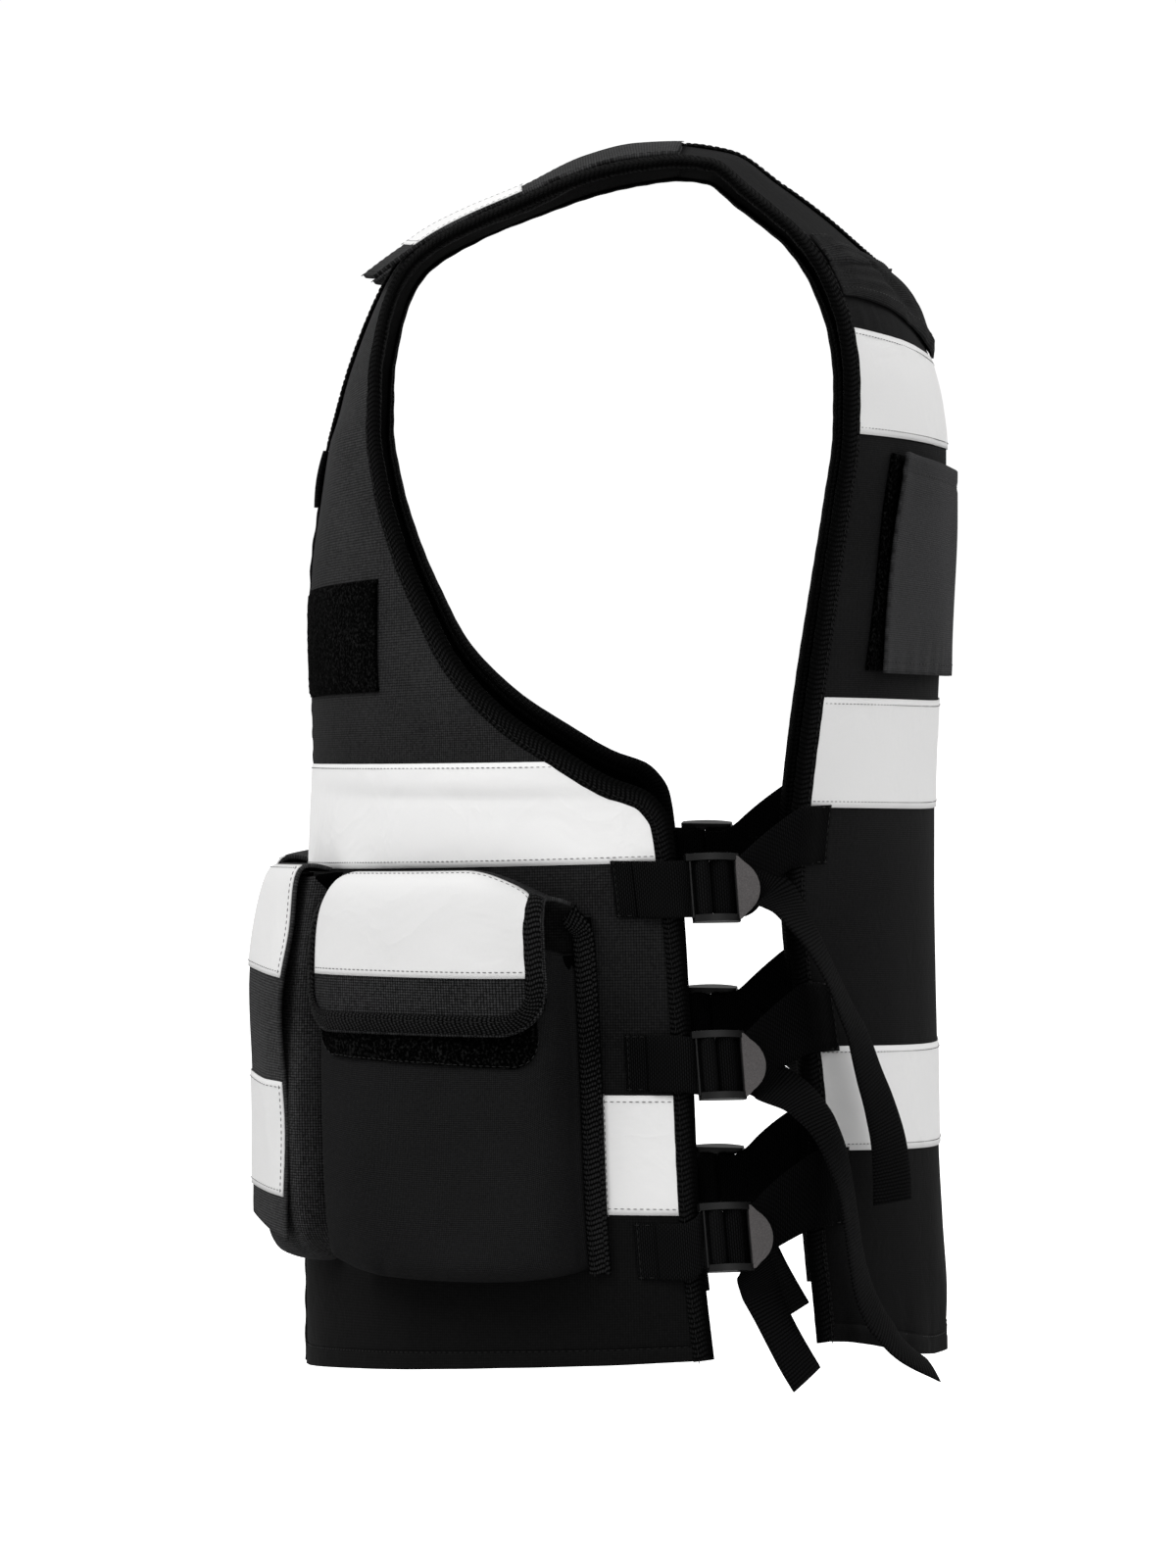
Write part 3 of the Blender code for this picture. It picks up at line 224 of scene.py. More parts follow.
def grey(tone, blue=None):
    return tone, tone, tone if blue is None else blue


wovenLook = {"dark": grey(0.001), "rough": (0.7, 0.88)}
roughLook = {**wovenLook, "rough": (0.72, 0.9), "low": 0.35, "high": 1.2, "depth": 0.00034, "creaseDepth": 0.00030}
ribbedLook = {"dark": grey(0.0002), "rough": (0.6, 0.8), "creaseDepth": 0.00005, "gloss": 0.03}
reflectiveLook = {"rough": (0.5, 0.65), "patch": 9.0, "depth": 0.00004, "creaseDepth": 0.00050, "creaseScale": 22.0}
threadLook = {"rough": (0.5, 0.65), "depth": 0.00005}
looks = {
    # panelCloth and backCloth: painted shade darkens them towards the bottom
    "panelCloth": {**roughLook, "dark": grey(0.0015), "light": grey(0.047, 0.048), "creaseDepth": 0.00025,
                   "gloss": 0.04, "paintedLowShade": (-0.47, -0.10, 0.08)},
    "slimCloth": {**roughLook, "dark": grey(0.003), "light": grey(0.057, 0.058), "gloss": 0.05},
    "flapCloth": {**roughLook, "light": grey(0.036, 0.037), "low": 0.45, "high": 1.15, "depth": 0.00040,
                  "gloss": 0.05},
    "backCloth": {**wovenLook, "light": grey(0.0140, 0.0144), "rough": (0.72, 0.9), "depth": 0.00026,
                  "creaseDepth": 0.00022, "gloss": 0.03, "paintedLowShade": (-0.52, -0.26, 0.42)},
    "plateCloth": {**wovenLook, "dark": grey(0.008), "light": grey(0.046, 0.048), "depth": 0.00018,
                   "creaseDepth": 0.00030, "gloss": 0.05},
    "pouchCloth": {**wovenLook, "light": grey(0.0140, 0.0144), "depth": 0.00024, "creaseDepth": 0.00022,
                   "gloss": 0.03},
    "wallCloth": {**wovenLook, "light": grey(0.044, 0.045), "low": 0.4, "high": 1.15, "depth": 0.00030,
                  "creaseDepth": 0.00030, "gloss": 0.04},
    "yokeCloth": {**wovenLook, "light": grey(0.0290, 0.0295), "low": 0.35, "high": 1.2, "depth": 0.00022,
                  "creaseDepth": 0.00016, "gloss": 0.03},
    # lining: the black inside of the cloth, darkened further as painted shade for the vest's shadowed inside
    "lining": {"dark": grey(0.0003), "light": grey(0.0009), "rough": (0.85, 0.95), "depth": 0.0001, "gloss": 0.01},
    # edgeTape: its turned-in side is darkened as painted shade
    "edgeTape": {**ribbedLook, "light": grey(0.0072, 0.0074), "depth": 0.00085, "low": 0.75, "high": 1.15,
                 "paintedTurnShade": (0.0052, 0.0080, 0.05)},
    "rimTape": {**ribbedLook, "light": grey(0.0170, 0.0173), "depth": 0.00070, "low": 0.7, "high": 1.15},
    "webbing": {**ribbedLook, "dark": grey(0.0003), "light": grey(0.0060, 0.0062), "depth": 0.00045, "low": 0.6,
                "high": 1.2},
    "tailWebbing": {**ribbedLook, "light": grey(0.0048, 0.0050), "rough": (0.65, 0.85), "depth": 0.00040,
                    "gloss": 0.02, "low": 0.6, "high": 1.2},
    "reflectiveTape": {**reflectiveLook, "dark": grey(0.66), "light": (0.79, 0.785, 0.78), "gloss": 0.2},
    "flapReflective": {**reflectiveLook, "dark": grey(0.57), "light": (0.70, 0.695, 0.69), "gloss": 0.15},
    "loopPile": {"dark": grey(0.0001), "light": grey(0.0200), "rough": (0.85, 1.0), "depth": 0.0009, "gloss": 0.01,
                 "low": 0.38, "high": 0.95, "toneShare": 0.3},
    "thread": {**threadLook, "dark": grey(0.0015), "light": grey(0.010)},
    "tapeThread": {**threadLook, "dark": grey(0.10), "light": grey(0.26)},
    "glossPlastic": {"dark": grey(0.001), "light": grey(0.004, 0.0042), "rough": (0.32, 0.46), "depth": 0.00002,
                     "creaseDepth": 0.00003, "gloss": 0.2},
    "tabPlastic": {"dark": (0.036, 0.034, 0.034), "light": (0.145, 0.134, 0.134), "rough": (0.5, 0.65),
                   "depth": 0.00008, "creaseDepth": 0.00002, "gloss": 0.2},
}
clothWeave = groupPattern(weaveGroup, {"Warp": 0.0012, "Weft": 0.0012, "Uneven": 0.4})
fineWeave = groupPattern(weaveGroup, {"Warp": 0.0009, "Weft": 0.0009, "Uneven": 0.3})
tapeGrain = groupPattern(weaveGroup, {"Warp": 0.0003, "Weft": 0.0003, "Uneven": 0.1})
edgeRibs = groupPattern(ribGroup, {"Pitch": 0.0022, "Cord": 0.0012, "Bend": 620.0, "BendReach": 0.0007})
webRibs = groupPattern(ribGroup, {"Pitch": 0.00095, "Cord": 0.0018})
patterns = {
    "panelCloth": clothWeave, "slimCloth": clothWeave, "flapCloth": clothWeave, "backCloth": fineWeave,
    "plateCloth": fineWeave, "yokeCloth": fineWeave,
    "pouchCloth": fineWeave, "wallCloth": clothWeave, "lining": fineWeave,
    "edgeTape": edgeRibs, "rimTape": edgeRibs, "webbing": webRibs, "tailWebbing": webRibs,
    "reflectiveTape": tapeGrain, "flapReflective": tapeGrain,
    "loopPile": groupPattern(fuzzGroup, {"Size": 750.0}, False),
    "thread": groupPattern(fuzzGroup, {"Size": 3000.0}, False),
    "tapeThread": groupPattern(fuzzGroup, {"Size": 3000.0}, False),
    "glossPlastic": groupPattern(fuzzGroup, {"Size": 300.0}, False),
    "tabPlastic": groupPattern(fuzzGroup, {"Size": 1700.0}, False),
}
materials = {name: finishMaterial(name, look, patterns[name]) for name, look in looks.items()}
print("materials made:", len(materials))


# floor and sky
def makeStage():
    mesh = bpy.data.meshes.new("floor")
    reach = studio["floorReach"]
    corners = [(x * reach, y * reach, studio["floorZ"]) for x, y in ((-1, -1), (1, -1), (1, 1), (-1, 1))]
    mesh.from_pydata(corners, [], [(0, 1, 2, 3)])
    floor = bpy.data.objects.new("floor", mesh)
    material = bpy.data.materials.new("paleFloor")
    material.use_nodes = True
    tree = material.node_tree
    shader = tree.nodes["Principled BSDF"]
    shader.inputs["Base Color"].default_value = (*[studio["floorTone"]] * 3, 1)
    shader.inputs["Roughness"].default_value = 0.9
    shader.inputs["Emission Color"].default_value = (1, 1, 1, 1)
    shown = put(tree, "ShaderNodeLightPath").outputs["Is Camera Ray"]
    tree.links.new(calc(tree, "MULTIPLY", shown, studio["floorGlow"]), shader.inputs["Emission Strength"])
    under = put(tree, "ShaderNodeNewGeometry").outputs["Backfacing"]
    clear = put(tree, "ShaderNodeBsdfTransparent")
    mix = put(tree, "ShaderNodeMixShader", {0: under, 1: shader.outputs[0], 2: clear.outputs[0]})
    tree.links.new(mix.outputs[0], tree.nodes["Material Output"].inputs[0])
    mesh.materials.append(material)
    bpy.context.scene.collection.objects.link(floor)
    world = bpy.data.worlds.new("softSky")
    bpy.context.scene.world = world
    world.use_nodes = True
    tree = world.node_tree
    sky = tree.nodes["Background"]
    height = put(tree, "ShaderNodeSeparateXYZ", {0: put(tree, "ShaderNodeTexCoord").outputs["Generated"]}).outputs[2]
    level = put(tree, "ShaderNodeMapRange", {0: height, 1: -0.3, 2: 0.8, 3: studio["skyLow"], 4: studio["skyHigh"]})
    tree.links.new(level.outputs[0], sky.inputs[1])
    sky.inputs[0].default_value = (1, 1, 1, 1)
    seen = put(tree, "ShaderNodeBackground", {0: (1, 1, 1, 1), 1: studio["skyForCamera"]})
    ray = put(tree, "ShaderNodeLightPath").outputs["Is Camera Ray"]
    mix = put(tree, "ShaderNodeMixShader", {0: ray, 1: sky.outputs[0], 2: seen.outputs[0]})
    tree.links.new(mix.outputs[0], tree.nodes["World Output"].inputs[0])


makeStage()

# the vest's form: sections through the left half, from the front hem over the shoulder
# name, inner x y z, outer x y z, and the section's headings in degrees at its inner and outer end
sections = [
    ("frontHem", 0, -0.166, -0.530, 0.192, 0.0164, -0.5125, 0, 88),
    ("front480", 0, -0.166, -0.480, 0.192, 0.0123, -0.476, 0, 88),
    ("front440", 0, -0.1655, -0.440, 0.192, 0.0095, -0.440, 0, 88),
    ("front400", 0, -0.165, -0.400, 0.192, 0.0077, -0.397, 0, 88),
    ("front350", 0, -0.1645, -0.350, 0.192, 0.005, -0.345, 0, 88),
    ("frontTapeLow", 0, -0.1638, -0.307, 0.1915, 0.0002, -0.296, 0, 88),
    ("frontSideTop", 0, -0.1632, -0.288, 0.1905, -0.0026, -0.279, 0, 87),
    ("frontCorner", 0, -0.1628, -0.276, 0.1895, -0.012, -0.2665, 0, 84),
    ("armholeLow", 0, -0.1625, -0.268, 0.1875, -0.029, -0.260, 0, 79),
    ("frontTapeTop", 0, -0.1623, -0.260, 0.183, -0.048, -0.249, 0, 71),
    ("armhole231", 0, -0.1626, -0.243, 0.172, -0.075, -0.231, 0, 59),
    ("armhole208", 0, -0.1633, -0.221, 0.1585, -0.0965, -0.208, 0, 50),
    ("armhole186", 0, -0.164, -0.199, 0.149, -0.108, -0.186, 0, 44),
    ("armhole161", 0, -0.1635, -0.174, 0.138, -0.119, -0.161, 0, 38),
    ("armhole132", 0, -0.160, -0.146, 0.125, -0.128, -0.132, 0, 32),
    ("neckPoint", 0, -0.1555, -0.118, 0.115, -0.132, -0.107, 0, 26),
    ("neck95", 0.020, -0.1495, -0.095, 0.111, -0.132, -0.086, 5, 20),
    ("neck71", 0.037, -0.141, -0.071, 0.1105, -0.1298, -0.068, 5, 14),
    ("neck50", 0.050, -0.131, -0.050, 0.114, -0.1255, -0.051, 3, 10),
    ("strapRoot", 0.058, -0.1235, -0.038, 0.1185, -0.1185, -0.038, 2, 8),
    ("strapBend", 0.063, -0.114, -0.0275, 0.1225, -0.110, -0.030, 1, 4),
    ("strap91", 0.067, -0.091, -0.0145, 0.1285, -0.091, -0.019, 0, 0),
    ("strap66", 0.070, -0.0665, -0.005, 0.133, -0.067, -0.0093, 0, 0),
    ("strap38", 0.0715, -0.038, 0.0088, 0.138, -0.038, 0.001, 0, 0),
    ("strap17", 0.072, -0.017, 0.014, 0.140, -0.016, 0.0057, 0, 0),
    ("shoulder", 0.072, 0.003, 0.0148, 0.140, 0.001, 0.0078, 0, 0),
    ("back24", 0.072, 0.024, 0.0122, 0.140, 0.015, 0.0065, 0, 3),
    ("back46", 0.069, 0.046, -0.0018, 0.1403, 0.030, -0.005, 5, 15),
    ("back65", 0.060, 0.065, -0.016, 0.1408, 0.042, -0.0145, 9, 22),
    ("back79", 0.044, 0.079, -0.028, 0.1416, 0.050, -0.0215, 7, 26),
    ("back88", 0.023, 0.088, -0.0355, 0.143, 0.056, -0.029, 4, 29),
    ("nape", 0, 0.091, -0.038, 0.1445, 0.062, -0.0385, 0, 31),
    ("yoke59", 0, 0.104, -0.059, 0.146, 0.068, -0.052, 0, 34),
    ("upperTapeTop", 0, 0.114, -0.079, 0.1472, 0.072, -0.065, 0, 36),
    ("back99", 0, 0.119, -0.099, 0.1487, 0.0746, -0.088, 0, 38),
    ("upperTapeLow", 0, 0.121, -0.119, 0.150, 0.0743, -0.111, 0, 39),
    ("back150", 0, 0.121, -0.150, 0.1535, 0.0702, -0.142, 0, 41),
    ("back190", 0, 0.1195, -0.190, 0.1615, 0.0635, -0.183, 0, 45),
    ("middleTapeTop", 0, 0.1175, -0.231, 0.1685, 0.057, -0.225, 0, 48),
    ("middleTapeLow", 0, 0.116, -0.279, 0.174, 0.051, -0.273, 0, 50),
    ("back315", 0, 0.116, -0.315, 0.177, 0.0484, -0.305, 0, 52),
    ("back352", 0, 0.1165, -0.352, 0.177, 0.0509, -0.345, 0, 52),
    ("lowerTapeTop", 0, 0.117, -0.383, 0.176, 0.055, -0.378, 0, 52),
    ("lowerTapeLow", 0, 0.1175, -0.429, 0.175, 0.0585, -0.423, 0, 52),
    ("back465", 0, 0.119, -0.465, 0.175, 0.0575, -0.457, 0, 52),
    ("back500", 0, 0.121, -0.500, 0.174, 0.0605, -0.488, 0, 52),
    ("backHem", 0, 0.1205, -0.518, 0.173, 0.0625, -0.507, 0, 52),
]


def unit(vectors):
    return vectors / np.maximum(np.linalg.norm(vectors, axis=-1, keepdims=True), 1e-12)


def runLengths(points):  # along one line of points
    return np.concatenate([[0], np.cumsum(np.linalg.norm(np.diff(points, axis=0), axis=1))])


def rowLengths(points):  # along each row of a grid
    steps = np.linalg.norm(np.diff(points, axis=1), axis=2)
    return np.concatenate([np.zeros((len(points), 1)), np.cumsum(steps, axis=1)], axis=1)


def asRow(values):
    return np.atleast_1d(np.asarray(values, float))


slopeReach, slopeShare = 0.002, 0.02  # how far to each side a slope is measured, along and across


class VestForm:
    def __init__(self, rows, margin):
        self.margin = margin  # where the cloth starts, in from the vest's edge
        self.names = [row[0] for row in rows]
        self.values = np.array([row[1:] for row in rows], float)
        middles = (self.values[:, 0:3] + self.values[:, 3:6]) / 2
        steps = np.linalg.norm(np.diff(middles, axis=0), axis=1)
        self.knots = np.concatenate([[0], np.cumsum(steps)])
        rates = np.diff(self.values, axis=0) / steps[:, None]
        slopes = np.zeros_like(self.values)
        slopes[0], slopes[-1] = rates[0], rates[-1]
        before, after = rates[:-1], rates[1:]
        same = before * after > 0
        slopes[1:-1][same] = (2 * before * after / np.where(same, before + after, 1))[same]
        self.startSlope, self.endSlope = slopes.copy(), slopes.copy()
        nape = self.names.index("nape")
        self.endSlope[nape, 0] = rates[nape - 1, 0]  # the neckline crosses the middle level
        self.endSlope[nape, 1:3] = 0
        self.shoulder, self.nape, self.last = self.at("shoulder"), self.at("nape"), self.knots[-1]

    def at(self, name):
        return self.knots[self.names.index(name)]

    def row(self, along):
        along = asRow(along)
        k = np.clip(np.searchsorted(self.knots, along, side="right") - 1, 0, len(self.knots) - 2)
        k = np.where((along <= self.nape) & (self.knots[k] >= self.nape - 1e-9), self.names.index("nape") - 1, k)
        step = (self.knots[k + 1] - self.knots[k])[:, None]
        s = np.clip((along - self.knots[k])[:, None] / step, 0, 1)
        a, b = self.values[k], self.values[k + 1]
        da, db = self.startSlope[k] * step, self.endSlope[k + 1] * step
        return (a * (1 + 2 * s) * (1 - s) ** 2 + b * s * s * (3 - 2 * s)
                + da * s * (1 - s) ** 2 + db * s * s * (s - 1))

    def edge(self, side, along):
        row = self.row(along)
        return row[:, 0:3] if side == "inner" else row[:, 3:6]

    def heading(self, side, along):
        angle = np.radians(self.row(along)[:, 6 if side == "inner" else 7])
        turnTo = np.where(np.atleast_1d(along) < self.shoulder, 1, -1)
        return np.stack([np.cos(angle), turnTo * np.sin(angle), 0 * angle], axis=1)

    def inset(self, side, along, width):
        along = asRow(along)
        low = np.maximum(along - slopeReach, 0)
        high = np.minimum(along + slopeReach, self.last)
        if side == "inner":
            high = np.where(along <= self.nape, np.minimum(high, self.nape), high)
        run = unit(self.edge(side, high) - self.edge(side, low))
        across = self.edge("inner", high) + self.edge("outer", high) - self.edge("inner", low) - self.edge("outer", low)
        over = self.heading(side, along)
        row = self.row(along)
        over[:, 2] = (row[:, 5] - row[:, 2]) / np.linalg.norm(row[:, 0:3] - row[:, 3:6], axis=1)
        out = unit(np.cross(over, across))
        inward = np.cross(run, out) if side == "inner" else np.cross(out, run)
        return self.edge(side, along) + unit(inward) * width

    def start(self, along):
        along = asRow(along)
        below = self.at("yoke59")
        first = self.inset("inner", along, self.margin)
        onNape = self.inset("inner", [self.nape], self.margin)[0]
        onNape[0] = 0
        part = np.clip((along - self.nape) / (below - self.nape), 0, 1)[:, None]
        lower = onNape * (1 - part) + self.edge("inner", np.maximum(along, below)) * part
        return np.where((along < self.nape)[:, None], first, lower)

    def section(self, along):
        first = self.start(along)
        last = self.inset("outer", along, self.margin)
        chord = last - first
        turn = self.row(along)[:, 7]
        reach = (np.linalg.norm(chord, axis=1) * (1 / 3 + 0.057 * (turn / 90) ** 2))[:, None]  # longer round a bend
        lead = self.heading("inner", along) * reach
        tail = self.heading("outer", along) * reach
        lead[:, 2] = tail[:, 2] = chord[:, 2] / 3
        lead[:, 2] *= 1 - np.clip((np.atleast_1d(along) - self.nape) / 0.03, 0, 1)  # the back's rows cross it level
        s = np.linspace(0, 1, 49)[None, :, None]
        a, b, c, d = (p[:, None, :] for p in (first, first + lead, last - tail, last))
        points = a * (1 - s) ** 3 + b * 3 * s * (1 - s) ** 2 + c * 3 * s * s * (1 - s) + d * s**3
        return points, rowLengths(points)

    def width(self, along):
        return self.section(along)[1][:, -1]

    def points(self, along, across):  # one row of places for each length
        along = asRow(along)
        across = np.broadcast_to(across, (len(along), np.shape(across)[-1]))
        sections, lengths = self.section(along)
        goal = across * lengths[:, -1:]
        k = (lengths[:, None, 1:-1] <= goal[..., None]).sum(-1)
        rows = np.arange(len(along))[:, None]
        before, after = lengths[rows, k], lengths[rows, k + 1]
        s = ((goal - before) / (after - before))[..., None]
        return sections[rows, k] * (1 - s) + sections[rows, k + 1] * s

    def surface(self, along, across):  # places and the ways out of the cloth
        along = asRow(along)
        across = np.broadcast_to(across, (len(along), np.shape(across)[-1]))
        low, high = np.maximum(along - slopeReach, 0), np.minimum(along + slopeReach, self.last)
        right, left = np.minimum(across + slopeShare, 1), np.maximum(across - slopeShare, 0)
        over = self.points(along, right) - self.points(along, left)
        up = self.points(high, across) - self.points(low, across)
        normals = np.cross(over, up)
        normals[..., 0] = np.where((across == 0) & (along[:, None] >= self.nape), 0, normals[..., 0])
        return self.points(along, across), unit(normals)

    def alongAt(self, side, height, first, last):
        low, high = self.at(first), self.at(last)
        table = np.linspace(low, high, 400)
        heights = self.edge(side, table)[:, 2]
        order = np.argsort(heights)
        return np.interp(height, heights[order], table[order])

    def acrossAt(self, axis, value, along):
        places = np.linspace(0, 1, 400)
        line = self.points(along, places)[0, :, axis]
        order = np.argsort(line)
        return float(np.interp(value, line[order], places[order]))


form = VestForm(sections, 0.0052)


def ease(value):
    value = np.clip(value, 0, 1)
    return value * value * (3 - 2 * value)


def softNoise(points, size, seed):
    spot = points / size + seed * 17.37
    cell = np.floor(spot).astype(np.int64)
    f = spot - cell
    f = f * f * (3 - 2 * f)
    total = 0
    for dx in (0, 1):
        for dy in (0, 1):
            for dz in (0, 1):
                mix = ((cell[..., 0] + dx) * 374761393 + (cell[..., 1] + dy) * 668265263
                       + (cell[..., 2] + dz) * 2147483647 + 1013904223) & 0xFFFFFFFF
                mix = ((mix ^ (mix >> 13)) * 1274126177) & 0xFFFFFFFF
                value = ((mix ^ (mix >> 16)) & 0xFFFF) / 32767.5 - 1
                weight = (np.where(dx, f[..., 0], 1 - f[..., 0]) * np.where(dy, f[..., 1], 1 - f[..., 1])
                          * np.where(dz, f[..., 2], 1 - f[..., 2]))
                total = total + value * weight
    return total


drapes = {"wave": 0.0010, "waveSize": 0.085, "fold": 0.0007, "foldSize": 0.030, "hemWave": 0.0016,
          "hemWaveSize": 0.024, "hemFrom": -0.44, "hemReach": 0.08}


def drape(points):  # how far the cloth stands off its smooth form
    tall = points * np.array([1, 1, 0.45])
    move = softNoise(tall, drapes["waveSize"], 1) * drapes["wave"]
    move = move + softNoise(tall * np.array([1, 1, 0.8]), drapes["foldSize"], 2) * drapes["fold"]
    nearHem = np.clip((drapes["hemFrom"] - points[..., 2]) / drapes["hemReach"], 0, 1) ** 2
    return move + nearHem * softNoise(points * np.array([1, 1, 0.1]), drapes["hemWaveSize"], 3) * drapes["hemWave"]


# mesh helpers
weldReach = 0.00002


def gridFaces(up, across, flip):
    row, column = np.meshgrid(np.arange(up - 1), np.arange(across - 1), indexing="ij")
    a = (row * across + column).ravel()
    faces = np.stack([a, a + 1, a + across + 1, a + across], axis=1)
    return faces[:, ::-1] if flip else faces


def gridMesh(name, points, uv, flip):
    up, across = points.shape[:2]
    faces = gridFaces(up, across, flip)
    mesh = bpy.data.meshes.new(name)
    mesh.from_pydata(points.reshape(-1, 3).tolist(), [], faces.tolist())
    layer = mesh.uv_layers.new(name="UVMap")
    corners = np.empty(len(mesh.loops), np.int32)
    mesh.loops.foreach_get("vertex_index", corners)
    layer.data.foreach_set("uv", uv.reshape(-1, 2)[corners].astype(np.float32).ravel())
    mesh.shade_smooth()
    return mesh


def clothUv(points):
    over = rowLengths(points)
    middle = points.shape[1] // 2
    up = runLengths(points[:, middle])
    return np.stack([over - over[:, middle:middle + 1], np.broadcast_to(up[:, None], over.shape)], axis=2)


def weld(mesh):
    shape = bmesh.new()
    shape.from_mesh(mesh)
    bmesh.ops.remove_doubles(shape, verts=shape.verts, dist=weldReach)
    shape.to_mesh(mesh)
    shape.free()


def flatSize(mesh, halves):  # the size of its cloth before it was sewn and hung, from its own rows
    spots = np.empty(len(mesh.loops) * 2)
    mesh.uv_layers[0].uv.foreach_get("vector", spots)
    span = np.ptp(spots.reshape(-1, 2), axis=0)
    area = sum(face.area for face in mesh.polygons)
    width = max(float(span[0]) * halves, area / float(span[1]) + 0.0005)
    return round(width, 4), round(float(span[1]) + 0.0005, 4), round(area, 5)


def addPiece(mesh, looksUsed, nodes, wall=0, held=None, halves=1):
    piece = bpy.data.objects.new(mesh.name, mesh)
    for look in looksUsed:
        mesh.materials.append(materials[look])
    bpy.context.scene.collection.objects.link(piece)
    if wall:
        shell = piece.modifiers.new("wall", "SOLIDIFY")
        shell.thickness = wall
        shell.offset = -1
        shell.material_offset = 1 if len(looksUsed) > 1 else 0
    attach(piece, "root")
    if nodes:
        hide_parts(*nodes)
    if held:
        flat = flatSize(mesh, halves)
    return piece


def joined(name, meshes):
    shape = bmesh.new()
    for mesh in meshes:
        shape.from_mesh(mesh)
        bpy.data.meshes.remove(mesh)
    whole = bpy.data.meshes.new(name)
    shape.to_mesh(whole)
    shape.free()
    weld(whole)
    return whole


def flipX(points, side):
    return points * np.array([side, 1, 1])


def draped(line, out, side):
    return line + out * drape(flipX(line, side))[:, None]


sides = (("left", 1), ("right", -1))
level = np.array([0, 0, 1.0])
stitchRuns = {"thread": [], "tapeThread": []}


def addStitches(kind, points, normals, side, lift):
    stitchRuns[kind].append(flipX(points + normals * lift, side))


def stitchOn(kind, line):  # on a line that already lies on its own side
    stitchRuns[kind].append(line)


# front and back panels
panels = {"thickness": 0.003, "step": 0.004, "columns": 66, "hem": 0.0075, "hemRise": 0.0005, "hemSag": 0.0045,
          "groove": 0.0007, "grooveHalf": 0.0009, "seamRise": 0.0006, "seamHalf": 0.004, "yokeWave": 0.0009,
          "lowWave": 0.0011, "lowReach": 0.05, "threadSink": 0.0002, "seamGap": 0.0002}


def panelRows(first, last):
    count = int(round((last - first) / panels["step"]))
    rows = set(np.round(np.linspace(first, last, count + 1), 5))
    hem = first if first == 0 else last
    toward = 1 if first == 0 else -1
    rows |= {round(hem + toward * step, 5) for step in (0.001, 0.0055, 0.0068, 0.0075, 0.0082, 0.0095)}
    return np.array(sorted(rows))


def panelLift(alongs, hemAt, seamAt):
    fromHem = np.abs(alongs - hemAt)[:, None]
    hem = np.where(fromHem < panels["hem"], panels["hemRise"], 0)
    groove = -panels["groove"] * np.exp(-((fromHem - panels["hem"]) / panels["grooveHalf"]) ** 2)
    seam = panels["seamRise"] * np.exp(-((alongs - seamAt)[:, None] / panels["seamHalf"]) ** 2)
    return hem + groove + seam


def makePanels():
    across = np.linspace(0, 1, panels["columns"])
    over = np.linspace(0, 1, 120)
    gap = panels["seamGap"]
    for part, first, last in (("front", 0.0, form.shoulder - gap), ("back", form.shoulder + gap, form.last)):
        alongs = panelRows(first, last)
        base, out = form.surface(alongs, across)
        widths = form.width(alongs)[:, None]
        hemAt = 0.0 if part == "front" else form.last
        meshes = []
        for word, side in sides:
            points = base + out * (panelLift(alongs, hemAt, form.shoulder)
                                   + drape(flipX(base, side)))[..., None]
            if part == "back":
                under = np.exp(-((alongs - form.at("yoke59") - 0.010) / 0.008) ** 2)[:, None]  # gathers by the yoke
                under = under * ease((across - 0.5) / 0.2)
                ways = softNoise(points * np.array([1, 1, 0.15]), 0.006, 4) * under * panels["yokeWave"]
                low = ease((alongs - form.last + panels["lowReach"]) / panels["lowReach"])[:, None]
                ways = ways + softNoise(points * np.array([1, 1, 0.2]), 0.010, 6) * low**2 * panels["lowWave"]
                points = points + out * ways[..., None]
                points[..., 2] -= low * np.sin(np.pi * np.clip(across * 1.05, 0, 1)) ** 1.5 * panels["hemSag"]
                points[alongs >= form.nape, 0, 0] = 0
            uv = np.stack(np.broadcast_arrays(across * widths * side, alongs[:, None]), axis=2)
            mesh = gridMesh(f"{part}Panel_{word}", flipX(points, side), uv, side < 0)
            meshes.append(mesh)
            hemLine = form.surface([abs(hemAt - panels["hem"])], over)
            spot = draped(hemLine[0][0], hemLine[1][0], side)
            if part == "back":
                near = ease((panels["lowReach"] - panels["hem"]) / panels["lowReach"])
                spot[:, 2] -= near * np.sin(np.pi * over) ** 1.5 * panels["hemSag"]
            addStitches("thread", spot, hemLine[1][0], side, -panels["threadSink"])
        if part == "front":
            for mesh, (word, side) in zip(meshes, sides):
                addPiece(mesh, ["panelCloth", "lining"], [f"front_panel_{word}"], panels["thickness"],
                         held="hung")
        else:
            mesh = joined("backPanel", meshes)
            addPiece(mesh, ["backCloth", "lining"], ["back_panel"], panels["thickness"], held="hung")


makePanels()
print("panels made")

# edge tape folded round every raw edge
edgeTape = {"wall": 0.0008, "step": 0.0025, "stitchFromEdge": 0.0066, "stitchRise": 0.0015, "pucker": 0.0001,
            "puckerPitch": 0.0105, "middle": -0.0015}
# distance in from the edge, and height over the cloth's outer face, round the fold
foldProfile = [(0.0091, 0.0007), (0.0086, 0.0013), (0.0072, 0.0015), (0.0066, 0.0012), (0.006, 0.0014),
               (0.0044, 0.0012), (0.0028, 0.0006), (0.0014, 0.0), (0.0004, -0.0008), (0.0, -0.0014),
               (0.0004, -0.0020), (0.0014, -0.0028), (0.0028, -0.0035), (0.0044, -0.0041), (0.006, -0.0042),
               (0.0066, -0.0039), (0.0072, -0.00415), (0.0086, -0.0041), (0.0091, -0.0036)]


def smoothed(rows, reach):
    padded = np.concatenate([rows[:1].repeat(reach, 0), rows, rows[-1:].repeat(reach, 0)])
    kernel = np.hanning(2 * reach + 3)[1:-1]
    kernel /= kernel.sum()
    return np.stack([np.convolve(padded[:, axis], kernel, "valid") for axis in range(rows.shape[1])], axis=1)


